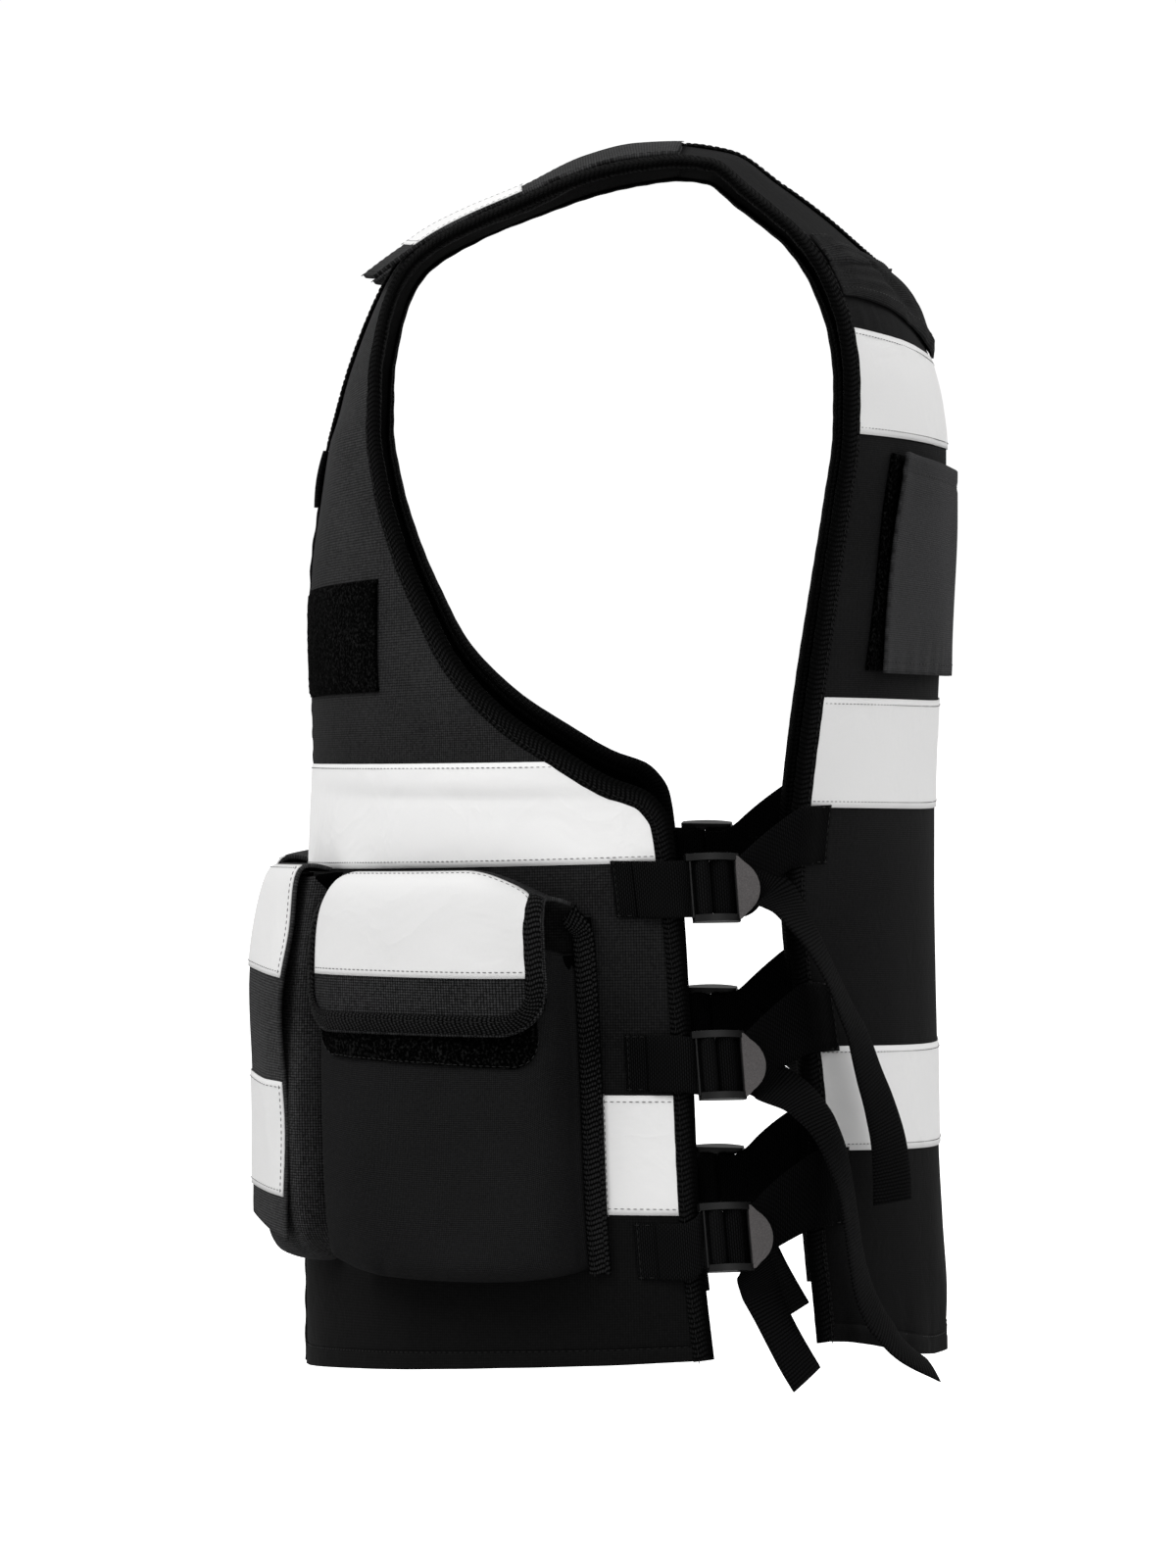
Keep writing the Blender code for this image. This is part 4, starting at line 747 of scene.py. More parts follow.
def foldedTape(edge, inward, out, thick=1.0):  # thick: the cloth inside it, as a share of the panels'
    run = runLengths(edge)
    shape = np.array(foldProfile)
    middle = edgeTape["middle"]
    drop = np.where(shape[:, 1] < middle, (thick - 1) * panels["thickness"], 0)
    girth = runLengths(shape)
    wave = np.sin(run * 2 * math.pi / edgeTape["puckerPitch"] + 2 * np.sin(run * 37))
    ripple = edgeTape["pucker"] * (wave + softNoise(edge, 0.006, 5))
    heights = shape[None, :, 1] - drop[None, :]
    heights = heights + np.where(heights > middle, 1, -1) * ripple[:, None]
    points = (edge[:, None] + inward[:, None] * shape[None, :, 0, None] + out[:, None] * heights[..., None])
    uv = np.stack(np.broadcast_arrays(girth[None, :], run[:, None]), axis=2)
    return points, uv


def vestEdge(side, first, last):
    count = int((last - first) / edgeTape["step"])
    alongs = np.linspace(first, last, count + 1)
    edge = form.edge(side, alongs)
    inward = unit(form.inset(side, alongs, 1.0) - edge)
    out = form.surface(alongs, [0.0] if side == "inner" else [1.0])[1][:, 0]
    out = unit(smoothed(out, 5))
    inward = smoothed(inward, 3)
    inward = unit(inward - out * (inward * out).sum(1, keepdims=True))
    return edge, inward, out


def makeEdgeTapes():
    edge, inward, out = vestEdge("outer", 0.0, form.last)
    for word, side in sides:
        lifted = draped(edge, out, side)
        points, uv = foldedTape(lifted, inward, out)
        mesh = gridMesh(f"sideEdgeTape_{word}", flipX(points, side), uv, side < 0)
        addPiece(mesh, ["edgeTape"], [f"side_binding_{word}"], edgeTape["wall"])
        addStitches("thread", lifted + inward * edgeTape["stitchFromEdge"], out, side, edgeTape["stitchRise"])
    edge, inward, out = vestEdge("inner", form.at("neckPoint"), form.nape)
    inward[-1][0] = out[-1][0] = 0
    inward, out = unit(inward), unit(out)
    whole = [np.concatenate([rows, flipX(rows, -1)[::-1][1:]]) for rows in (edge, inward, out)]
    lifted = draped(whole[0], whole[2], 1)
    points, uv = foldedTape(lifted, whole[1], whole[2])
    points[0, :, 0] = np.maximum(points[0, :, 0], 0.0003)
    points[-1, :, 0] = np.minimum(points[-1, :, 0], -0.0003)
    mesh = gridMesh("neckEdgeTape", points, uv, True)
    addPiece(mesh, ["edgeTape"], ["neck_binding"], edgeTape["wall"])
    addStitches("thread", lifted + whole[1] * edgeTape["stitchFromEdge"], whole[2], 1, edgeTape["stitchRise"])


makeEdgeTapes()
print("edge tapes made")

# reflective tape on the panels
tapes = {"wall": 0.0005, "lift": 0.0002, "stitchIn": 0.0027, "pucker": 0.0003, "puckerReach": 0.0035,
         "step": 0.003, "threadRise": 0.00012, "endStitchIn": 0.0022}


def tapeStrip(name, alongs, across, node, stitchEnds=False):
    rows = np.linspace(alongs[0], alongs[-1], int((alongs[-1] - alongs[0]) / tapes["step"]) + 2)
    columns = np.linspace(across[0], across[1], max(int((across[1] - across[0]) * 90), 8))
    base, out = form.surface(rows, columns)
    threadLift = tapes["lift"] + tapes["wall"] + tapes["threadRise"]
    meshes = []
    for word, side in sides:
        world = flipX(base, side)
        fromEdge = np.minimum(rows - rows[0], rows[-1] - rows)[:, None]
        near = np.exp(-(fromEdge - tapes["stitchIn"]) ** 2 / tapes["puckerReach"] ** 2)
        ripple = tapes["pucker"] * near * softNoise(world, 0.008, 7)
        lift = drape(world) + tapes["lift"] + tapes["wall"] + ripple
        points = base + out * lift[..., None]
        widths = form.width(rows)[:, None]
        uv = np.stack(np.broadcast_arrays(columns * widths * side, rows[:, None]), axis=2)
        if node.startswith("back"):
            points[:, 0, 0] = 0
        meshes.append(gridMesh(f"{name}_{word}", flipX(points, side), uv, side < 0))
        for place in (rows[0] + tapes["stitchIn"], rows[-1] - tapes["stitchIn"]):
            line, way = form.surface([place], np.linspace(across[0], across[1], 160))
            spot = draped(line[0], way[0], side)
            addStitches("tapeThread", spot, way[0], side, threadLift)
        if stitchEnds:
            length = form.width([rows[0]])[0]
            line, way = form.surface(np.linspace(rows[0], rows[-1], 30), [across[0] + tapes["endStitchIn"] / length])
            spot = draped(line[:, 0], way[:, 0], side)
            addStitches("tapeThread", spot, way[:, 0], side, threadLift)
    if node.startswith("back"):
        mesh = joined(name, meshes)
        addPiece(mesh, ["reflectiveTape"], [node], tapes["wall"], held="laid")
    else:
        for mesh, (word, side) in zip(meshes, sides):
            addPiece(mesh, ["reflectiveTape"], [f"{node}_{word}"], tapes["wall"], held="laid")


def makeTapes():
    tapeStrip("frontTape", (form.at("frontTapeLow"), form.at("frontTapeTop")), (0.012, 1), "front_upper_tape")
    low = form.alongAt("outer", -0.4495, "frontHem", "frontTapeLow")
    top = form.alongAt("outer", -0.3975, "frontHem", "frontTapeLow")
    start = form.acrossAt(1, -0.0325, [(low + top) / 2])
    tapeStrip("sideTape", (low, top), (start, 1), "front_lower_tape", stitchEnds=True)
    for word in ("upper", "middle", "lower"):
        span = (form.at(f"{word}TapeTop"), form.at(f"{word}TapeLow"))
        tapeStrip(f"{word}BackTape", span, (0, 1), f"back_{word}_tape")


makeTapes()
print("panel tapes made")

# shared helpers for what is laid on the panels
cadShift = 0.0038  # the solids' panels start this much further in from the edge


def cadAcross(place, along):
    along = np.asarray(along, float)
    width = form.width(along.ravel()).reshape(along.shape)
    inner = np.where(along > form.at("yoke59"), 0, cadShift)
    return (inner + place * (width - inner - cadShift)) / width


def spots(along, across):
    along, across = np.broadcast_arrays(np.asarray(along, float), np.asarray(across, float))
    base, out = form.surface(along.ravel(), across.reshape(-1, 1))
    return base[:, 0].reshape(along.shape + (3,)), out[:, 0].reshape(along.shape + (3,))


def raised(along, across, lift, side):
    base, out = spots(along, across)
    return flipX(base + out * (np.asarray(lift) + drape(flipX(base, side)))[..., None], side)


def frontAlong(edge, heights):
    heights = np.asarray(heights, float)
    return form.alongAt(edge, heights.ravel(), "frontHem", "armholeLow").reshape(heights.shape)


def rounded(points):  # the corners of a line cut twice
    points = np.asarray(points, float)
    for _ in range(2):
        pairs = np.stack([points[:-1] * 0.75 + points[1:] * 0.25, points[:-1] * 0.25 + points[1:] * 0.75], axis=1)
        points = np.concatenate([points[:1], pairs.reshape(-1, points.shape[1]), points[-1:]])
    return points


def evenly(points, step):
    points = np.asarray(points, float)
    lengths = runLengths(points)
    goal = np.linspace(0, lengths[-1], max(int(round(lengths[-1] / step)), 2) + 1)
    return np.stack([np.interp(goal, lengths, points[:, axis]) for axis in range(points.shape[1])], axis=1)


def gridNormals(points, side):
    return unit(np.cross(np.gradient(points, axis=1), np.gradient(points, axis=0))) * side


def clothGrid(name, points, side, looksUsed, nodes, wall, uv=None, down=False, held=None):
    mesh = gridMesh(name, points, clothUv(points) if uv is None else uv, (side < 0) != down)
    return addPiece(mesh, looksUsed, nodes, wall, held=held)


def pastRidge(line, down, height):  # the length down a flap's line to a height past its ridge
    ridge = np.argmax(line[:, 0])
    return float(np.interp(-height, -line[ridge:, 0], down[ridge:]))


def flapSheet(name, points, a, b, side, look, node, wall, held):
    clothGrid(name, points, side, [look], [node], wall, np.stack([a, -b], axis=2), True, held)


# main pouches
mainPouch = {"frontY": -0.1350, "sideY": -0.0425, "flangeY": -0.0318, "depth": 0.0265, "gap": 0.0004, "step": 0.0024,
             "lowZ": -0.4785, "topZ": -0.3175, "cornerRise": 0.0062, "mouthDip": 0.017, "wall": 0.0012,
             "tapeTopZ": -0.3135, "stitchIn": 0.0065, "faceFold": 0.0011, "wallFold": 0.0009, "gather": 0.0016,
             "tuck": 0.0016, "rimWall": 0.0006, "rimThick": 0.2, "rimRise": 0.0026, "curlRise": 0.0030,
             "curlIn": 0.022, "curlRun": 0.016}
mainAcross = [(0, 0), (0, 0.10), (0.006, 0.62), (0.011, 0.95), (0.05, 1.0), (0.28, 1.02), (0.68, 1.0), (0.90, 0.93),
              (0.960, 0.76), (0.988, 0.4), (0.998, 0.12)]
mainUp = [(0, 0), (0.002, 0.55), (0.016, 0.88), (0.07, 0.99), (0.48, 1.02), (0.83, 0.95), (0.995, 0.86), (1.0, 0.80),
          (0.985, 0.72), (0.95, 0.4), (0.93, 0.12), (0.925, 0.02)]
mainLine = frontAlong("outer", [-0.40])[0]
mainStart = form.acrossAt(1, mainPouch["frontY"], [mainLine])
mainEnd = form.acrossAt(1, mainPouch["sideY"], [mainLine])
mainFlange = form.acrossAt(1, mainPouch["flangeY"], [mainLine])
mainWidth = (mainEnd - mainStart) * form.width([mainLine])[0]


def mainCurve():
    size = np.array([mainWidth, mainPouch["depth"]])
    last = (mainFlange - mainStart) / (mainEnd - mainStart)
    flange = [(1.012, 0.082), (last - 0.02, 0.078), (last, 0.076)]
    return evenly(rounded(np.array(mainAcross + flange) * size), mainPouch["step"]) / size


def makeMainPouches():
    across = mainCurve()
    size = np.array([mainPouch["topZ"] - mainPouch["lowZ"], mainPouch["depth"]])
    up = evenly(rounded(np.array(mainUp) * size), mainPouch["step"]) / size
    place = across[None, :, 0]
    bottom = mainPouch["lowZ"] + mainPouch["cornerRise"] * np.abs(2 * place - 1.05) ** 3.2
    top = mainPouch["topZ"] - mainPouch["mouthDip"] * ease((place - 0.86) / 0.12) * (place < 1.05)
    heights = bottom + up[:, None, 0] * (top - bottom)
    puff = across[None, :, 1] * up[:, None, 1]
    along = frontAlong("outer", heights)
    acrosses = np.broadcast_to(mainStart + (mainEnd - mainStart) * place, along.shape)
    for word, side in sides:
        points = raised(along, acrosses, mainPouch["gap"] + mainPouch["depth"] * puff, side)
        ways = gridNormals(points, side)
        wall = np.exp(-((place - 0.005) / 0.02) ** 2) + np.exp(-((place - 0.975) / 0.03) ** 2)
        free = ease(puff / 0.5) * ease(up[:, None, 0] / 0.05)
        face = softNoise(points * np.array([1, 1, 0.55]), 0.042, 11) * mainPouch["faceFold"]
        creased = softNoise(points * np.array([1, 1, 0.35]), 0.013, 12) * (mainPouch["wallFold"] * wall + 0.00015)
        low = np.exp(-(up[:, None, 0] / 0.10) ** 2)
        gathers = low * softNoise(points * np.array([1.4, 1.4, 0.5]), 0.010, 13) * mainPouch["gather"]
        mouth = np.exp(-((up[:, None, 0] - 1) / 0.12) ** 2) * ease((place - 0.85) / 0.1)
        tucks = mouth * softNoise(points * np.array([1.5, 1.5, 0.3]), 0.007, 14) * mainPouch["tuck"]
        points = points + ways * ((face + creased + gathers + tucks) * free)[..., None]
        piece = clothGrid(f"mainPouch_{word}", points, side, ["pouchCloth", "lining"], [f"main_pouch_{word}"],
                          mainPouch["wall"])
        rim = np.linspace(mainPouch["lowZ"] + 0.004, mainPouch["tapeTopZ"], 66)
        where = frontAlong("outer", rim)
        curl = ease((rim - mainPouch["tapeTopZ"] + mainPouch["curlRun"]) / mainPouch["curlRun"])
        over = mainFlange - mainPouch["curlIn"] * curl**2.2
        rise = mainPouch["rimRise"] + mainPouch["curlRise"] * curl
        edge = raised(where, over, rise, 1)
        inside = raised(where - 0.003 * curl, over - 0.01, rise, 1)
        out = spots(where, np.full(len(rim), mainFlange))[1]
        tape, uv = foldedTape(edge, unit(inside - edge), out, mainPouch["rimThick"])
        mesh = gridMesh(f"pouchEdgeTape_{word}", flipX(tape, side), uv, side < 0)
        addPiece(mesh, ["rimTape"], [], mainPouch["rimWall"])
        addStitches("thread", edge + unit(inside - edge) * mainPouch["stitchIn"], out, side, edgeTape["stitchRise"])


makeMainPouches()
print("main pouches made")

# main pouch flaps
flapThreadRise = 0.00015  # the stitches over the tape on a flap
mainFlap = {"frontY": -0.1368, "sideY": -0.0475, "corner": 0.0195, "wall": 0.0018, "outer": 0.0020, "step": 0.0022,
            "endDrop": 0.0035, "droop": 0.0105, "tilt": 0.004, "shelfReach": 0.0060, "shelfDrop": 0.0100,
            "tapeLow": -0.3485, "tapeTop": -0.3005, "tapeLift": 0.0005, "tapeWall": 0.0004, "tapeIn": 0.0088,
            "tapeEnd": 0.0050, "tapeCorner": 0.009, "tapeStep": 0.0024, "stitchIn": 0.0028, "edgeStart": 0.0215,
            "edgeStep": 0.002, "edgeRise": 0.0002, "edgeWall": 0.0007, "edgeThick": 0.6}
flapRows = [(-0.3025, 0.0019), (-0.3008, 0.0100), (-0.3000, 0.0190), (-0.3030, 0.0258), (-0.3130, 0.0287),
            (-0.345, 0.0297), (-0.364, 0.0300), (-0.3745, 0.0298)]
flapLine = evenly(rounded(flapRows), 0.0008)
flapDown = runLengths(flapLine)
flapPlace = frontAlong("outer", [-0.34])[0]
flapStart = form.acrossAt(1, mainFlap["frontY"], [flapPlace])
flapEnd = form.acrossAt(1, mainFlap["sideY"], [flapPlace])
flapWidth = (flapEnd - flapStart) * form.width([flapPlace])[0]


def flapSpot(a, b, extra, side):
    height = np.interp(b, flapDown, flapLine[:, 0])
    lift = np.interp(b, flapDown, flapLine[:, 1])
    out = np.abs(a / flapWidth - 0.5) * 2
    turned = ease((out - 0.45) / 0.55)
    ridge = np.exp(-((b - 0.022) / 0.020) ** 2)
    height = height - mainFlap["droop"] * turned**1.5 * ridge
    height = height - mainFlap["shelfDrop"] * ease((a / flapWidth - 0.72) / 0.28) * ease((0.026 - b) / 0.026)
    lift = lift - (mainFlap["endDrop"] + 0.003 * ridge) * turned**2 * ease(b / 0.02)
    wave = np.sin(a / flapWidth * 9.0 + side) * 0.0007 * ease((b - 0.04) / 0.03)
    along = frontAlong("outer", height + mainFlap["tilt"])
    a = a + mainFlap["shelfReach"] * ease((a / flapWidth - 0.7) / 0.3) * ease((0.022 - b) / 0.016)
    across = flapStart + (flapEnd - flapStart) * a / flapWidth
    return raised(along, across, np.maximum(lift + wave, 0.001) + extra, side)


def cornerCut(a, width, radius):
    inside = np.minimum(np.minimum(a, width - a), radius)
    return radius - np.sqrt(np.maximum(radius**2 - (radius - inside) ** 2, 0))


def patchOn(columns, first, last, step):  # rows between two limits that may bend across
    count = int(np.max(last - first) / step) + 2
    s = np.linspace(0, 1, count)[:, None]
    return np.broadcast_to(columns, (count, len(columns))), first + (last - first) * s


def rimPath(width, length, radius, first):
    line = [(0, first), (0, length - radius)]
    line += [(radius - radius * math.cos(t), length - radius + radius * math.sin(t)) for t in np.linspace(0.1, 1.5, 12)]
    line += [(width - radius + radius * math.sin(t), length - radius + radius * math.cos(t)) for t in
             np.linspace(0.07, 1.5, 12)]
    line += [(width, length - radius), (width, first)]
    return evenly(line, mainFlap["edgeStep"])


def tapeRound(spot, path, extra, side, thick):
    a, b = path[:, 0], path[:, 1]
    way = unit(np.gradient(path, axis=0))
    reach = 0.0012
    edge = spot(a, b, extra, side)
    inward = unit(spot(a + way[:, 1] * reach, b - way[:, 0] * reach, extra, side) - edge)
    over = spot(a + reach, b, extra, side) - spot(a - reach, b, extra, side)
    up = spot(a, b - reach, extra, side) - spot(a, b + reach, extra, side)
    out = unit(smoothed(unit(np.cross(over, up)) * side, 3))
    inward = unit(smoothed(inward, 2))
    points, uv = foldedTape(edge, inward, out, thick)
    return points, uv, edge + inward * edgeTape["stitchFromEdge"], out


def makeMainFlaps():
    length = flapDown[-1]
    columns = np.unique(np.concatenate([np.linspace(0, flapWidth, 60), np.linspace(0, 0.016, 12),
                                        flapWidth - np.linspace(0, 0.016, 12)]))
    tapeColumns = np.linspace(mainFlap["tapeIn"], flapWidth - mainFlap["tapeEnd"], 62)
    tapeWidth = flapWidth - mainFlap["tapeIn"] - mainFlap["tapeEnd"]
    first = pastRidge(flapLine, flapDown, mainFlap["tapeTop"]) + 1.1 * cornerCut(
        tapeColumns - mainFlap["tapeIn"], tapeWidth, mainFlap["tapeCorner"])
    last = np.full(len(tapeColumns), pastRidge(flapLine, flapDown, mainFlap["tapeLow"]))
    lowEdge = length - cornerCut(columns, flapWidth, mainFlap["corner"])
    rim = rimPath(flapWidth, length, mainFlap["corner"], mainFlap["edgeStart"])
    outer, extra = mainFlap["outer"], mainFlap["outer"] + mainFlap["tapeLift"]
    for word, side in sides:
        a, b = patchOn(columns, 0 * columns, lowEdge, mainFlap["step"])
        flapSheet(f"mainFlap_{word}", flapSpot(a, b, outer, side), a, b, side, "flapCloth", f"main_flap_{word}",
                  mainFlap["wall"], "draped")
        edge, uv, stitchLine, out = tapeRound(flapSpot, rim, outer + mainFlap["edgeRise"], side, mainFlap["edgeThick"])
        mesh = gridMesh(f"flapEdgeTape_{word}", edge, uv, side < 0)
        addPiece(mesh, ["rimTape"], [], mainFlap["edgeWall"])
        stitchOn("thread", stitchLine + out * edgeTape["stitchRise"])
        a, b = patchOn(tapeColumns, first, last, mainFlap["tapeStep"])
        flapSheet(f"mainFlapTape_{word}", flapSpot(a, b, extra, side), a, b, side, "flapReflective",
                  f"main_flap_tape_{word}", mainFlap["tapeWall"], "laid")
        for line in (first + mainFlap["stitchIn"], last - mainFlap["stitchIn"]):
            stitchOn("tapeThread", flapSpot(tapeColumns[1:-1], line[1:-1], extra + flapThreadRise, side))


makeMainFlaps()
print("main flaps made")

# slim pouches and their long flaps
slim = {"centreX": 0.043, "outerX": 0.090, "gap": 0.0004, "step": 0.0024, "wall": 0.0012, "faceFold": 0.0012,
        "smallFold": 0.0004, "wallFold": 0.0016, "gather": 0.0012, "lowZ": -0.4785, "depth": 0.027}
slimAcross = [(0, 0), (0, 0.10), (0.02, 0.72), (0.06, 0.90), (0.16, 0.97), (0.5, 1.0), (0.86, 0.97), (0.95, 0.90),
              (0.985, 0.70), (1.0, 0.10), (1.0, 0)]
slimUp = [(-0.4790, 0.0), (-0.4785, 0.0100), (-0.4740, 0.0180), (-0.4620, 0.0222), (-0.4400, 0.0232),
          (-0.4000, 0.0245), (-0.3500, 0.0230), (-0.3110, 0.0160), (-0.3090, 0.0150), (-0.3105, 0.0120),
          (-0.3180, 0.0040), (-0.320, 0.0005)]
slimLine = frontAlong("inner", [-0.39])[0]
slimStart = form.acrossAt(0, slim["centreX"], [slimLine])
slimEnd = form.acrossAt(0, slim["outerX"], [slimLine])
slimWidth = (slimEnd - slimStart) * form.width([slimLine])[0]
slimFlap = {"outer": 0.0020, "wall": 0.0018, "step": 0.0024, "tapeLift": 0.0008, "tapeWall": 0.0006,
            "tapes": (("upper", -0.3490, -0.3052), ("lower", -0.4450, -0.3950)), "lowerCentre": -0.4570,
            "slant": 0.0040, "outerIn": 0.94, "lowerIn": 0.10, "tapeIn": 0.0004, "stitchIn": 0.0025,
            "sideStitchIn": 0.0026}
slimFlapRows = [(-0.3065, 0.0019), (-0.3048, 0.0080), (-0.3045, 0.0140), (-0.3068, 0.0190), (-0.3260, 0.0243),
                (-0.3500, 0.0280), (-0.3700, 0.0283), (-0.3960, 0.0266), (-0.4200, 0.0252), (-0.4450, 0.0245),
                (-0.4580, 0.0246), (-0.4650, 0.0240)]
slimFlapLine = evenly(rounded(slimFlapRows), 0.0008)
slimFlapDown = runLengths(slimFlapLine)


def slimSpot(a, b, extra, side):
    s = a / slimWidth
    height = np.interp(b, slimFlapDown, slimFlapLine[:, 0]) - slimFlap["slant"] * s * ease((b - 0.018) / 0.02)
    lift = np.interp(b, slimFlapDown, slimFlapLine[:, 1])
    curl = ease((s - 0.72) / 0.28) * ease((b - 0.02) / 0.03)
    lift = lift - curl * (0.0022 + 0.0016 * np.sin(b * 62 + 0.6 * side))
    lift = lift - ease((0.12 - s) / 0.12) * 0.0012 + 0.0006 * np.sin(b * 48 + s * 3) * ease(b / 0.03)
    along = frontAlong("inner", height)
    share = s * (slimFlap["outerIn"] - slimFlap["lowerIn"] * ease((b - 0.05) / 0.07))
    return raised(along, slimStart + (slimEnd - slimStart) * share, np.maximum(lift, 0.001) + extra, side)


def makeSlimPouches():
    size = np.array([slimWidth, slim["depth"]])
    across = evenly(rounded(np.array(slimAcross) * size), slim["step"]) / size
    up = evenly(rounded(slimUp), slim["step"])
    place = np.broadcast_to(across[None, :, 0], (len(up), len(across)))
    sag = 0.004 * np.exp(-((up[:, None, 0] + 0.4775) / 0.01) ** 2) * np.abs(2 * place - 1) ** 3
    heights = up[:, None, 0] + sag
    along = frontAlong("inner", heights)
    rise = across[None, :, 1] * up[:, None, 1]
    count = 26
    columns = np.linspace(0, slimWidth, count)
    tapeColumns = np.linspace(slimFlap["tapeIn"], slimWidth - slimFlap["tapeIn"], count)
    centre = pastRidge(slimFlapLine, slimFlapDown, slimFlap["lowerCentre"])
    last = centre + (slimFlapDown[-1] - centre) * columns / slimWidth
    extra = slimFlap["outer"] + slimFlap["tapeLift"]
    for word, side in sides:
        points = raised(along, slimStart + (slimEnd - slimStart) * place, slim["gap"] + rise, side)
        ways = gridNormals(points, side)
        free = ease(rise / 0.012) * ease((heights - slim["lowZ"]) / 0.006)
        tall = points * np.array([1, 1, 0.35])
        wall = np.exp(-((place - 0.99) / 0.03) ** 2) + np.exp(-((place - 0.01) / 0.03) ** 2)
        folds = softNoise(tall, 0.03, 21) * slim["faceFold"]
        folds = folds + softNoise(tall, 0.011, 22) * (slim["smallFold"] + slim["wallFold"] * wall)
        low = np.exp(-((heights + 0.478) / 0.016) ** 2)
        gathers = low * softNoise(points * np.array([1.3, 1.3, 0.5]), 0.009, 23) * slim["gather"]
        points = points + ways * ((folds + gathers) * free)[..., None]
        piece = clothGrid(f"slimPouch_{word}", points, side, ["wallCloth", "lining"], [f"slim_pouch_{word}"],
                          slim["wall"])
        a, b = patchOn(columns, 0 * columns, last, slimFlap["step"])
        flapSheet(f"slimFlap_{word}", slimSpot(a, b, slimFlap["outer"], side), a, b, side, "slimCloth",
                  f"slim_flap_{word}", slimFlap["wall"], "draped")
        for label, bottom, top in slimFlap["tapes"]:
            limits = [pastRidge(slimFlapLine, slimFlapDown, height) for height in (top, bottom)]
            a, b = patchOn(tapeColumns, *(np.full(count, limit) for limit in limits), slimFlap["step"])
            flapSheet(f"slimTape_{label}_{word}", slimSpot(a, b, extra, side), a, b, side, "flapReflective",
                      f"slim_tape_{label}_{word}", slimFlap["tapeWall"], "laid")
            ends = (limits[0] + slimFlap["stitchIn"], limits[1] - slimFlap["stitchIn"])
            runs = [(tapeColumns[1:-1], np.full(count - 2, end)) for end in ends]
            runs.append((np.full(30, slimWidth - slimFlap["sideStitchIn"]), np.linspace(*ends, 30)))
            for aRun, bRun in runs:
                stitchOn("tapeThread", slimSpot(aRun, bRun, extra + flapThreadRise, side))


makeSlimPouches()
print("slim pouches made")

# loop-pile strip under the main flap
pileStrip = {"frontY": -0.1310, "sideY": -0.0500, "topZ": -0.3620, "lowZ": -0.3810, "slant": -0.0040, "corner": 0.011,
             "wall": 0.0010, "lift": 0.0011, "ragged": 0.0004, "fuzz": 0.00022, "curlSize": 0.0016,
             "threadRise": 0.0004}


def pileFuzz(points, amount):
    size = pileStrip["curlSize"]
    return softNoise(points, size, 31) * amount + softNoise(points, size * 2.6, 32) * amount * 0.6


def makeMainPiles():
    start = form.acrossAt(1, pileStrip["frontY"], [mainLine])
    end = form.acrossAt(1, pileStrip["sideY"], [mainLine])
    width = (end - start) * form.width([mainLine])[0]
    shape = rounded(np.array(mainAcross))
    columns = np.linspace(0, width, 96)
    slant = pileStrip["slant"] * columns / width
    top = np.full(96, pileStrip["topZ"])
    low = pileStrip["lowZ"] + slant + cornerCut(columns, width, pileStrip["corner"])
    s = np.linspace(0, 1, 28)[:, None]
    for word, side in sides:
        ragged = softNoise(np.stack([columns, 0 * columns, 0 * columns], axis=1), 0.002, side) * pileStrip["ragged"]
        heights = low + ragged + (top - low - ragged) * s
        acrosses = np.broadcast_to(start + (end - start) * columns / width, heights.shape)
        place = (acrosses - mainStart) / (mainEnd - mainStart)
        depth = mainPouch["depth"] * np.interp(place, shape[:, 0], shape[:, 1]) * 1.02
        points = raised(frontAlong("outer", heights), acrosses, mainPouch["gap"] + depth + pileStrip["lift"], side)
        ways = gridNormals(points, side)
        points = points + ways * pileFuzz(points, pileStrip["fuzz"])[..., None]
        clothGrid(f"mainPile_{word}", points, side, ["loopPile"], [f"main_pile_{word}"], pileStrip["wall"],
                  held="laid")
        stitchOn("thread", points[1] + ways[1] * pileStrip["threadRise"])


makeMainPiles()

# shoulder flaps
shoulderFlap = {"leavesY": -0.112, "tipRun": 0.027, "lift": 0.0008, "outer": 0.0021, "wall": 0.0019,
                "tapeBackY": -0.0665, "tapePast": 0.005, "tapeLift": 0.0008, "tapeWall": 0.0006, "step": 0.0025,
                "curl": 2.2, "edgeIn": 0.02, "tapeEdgeIn": 0.04}


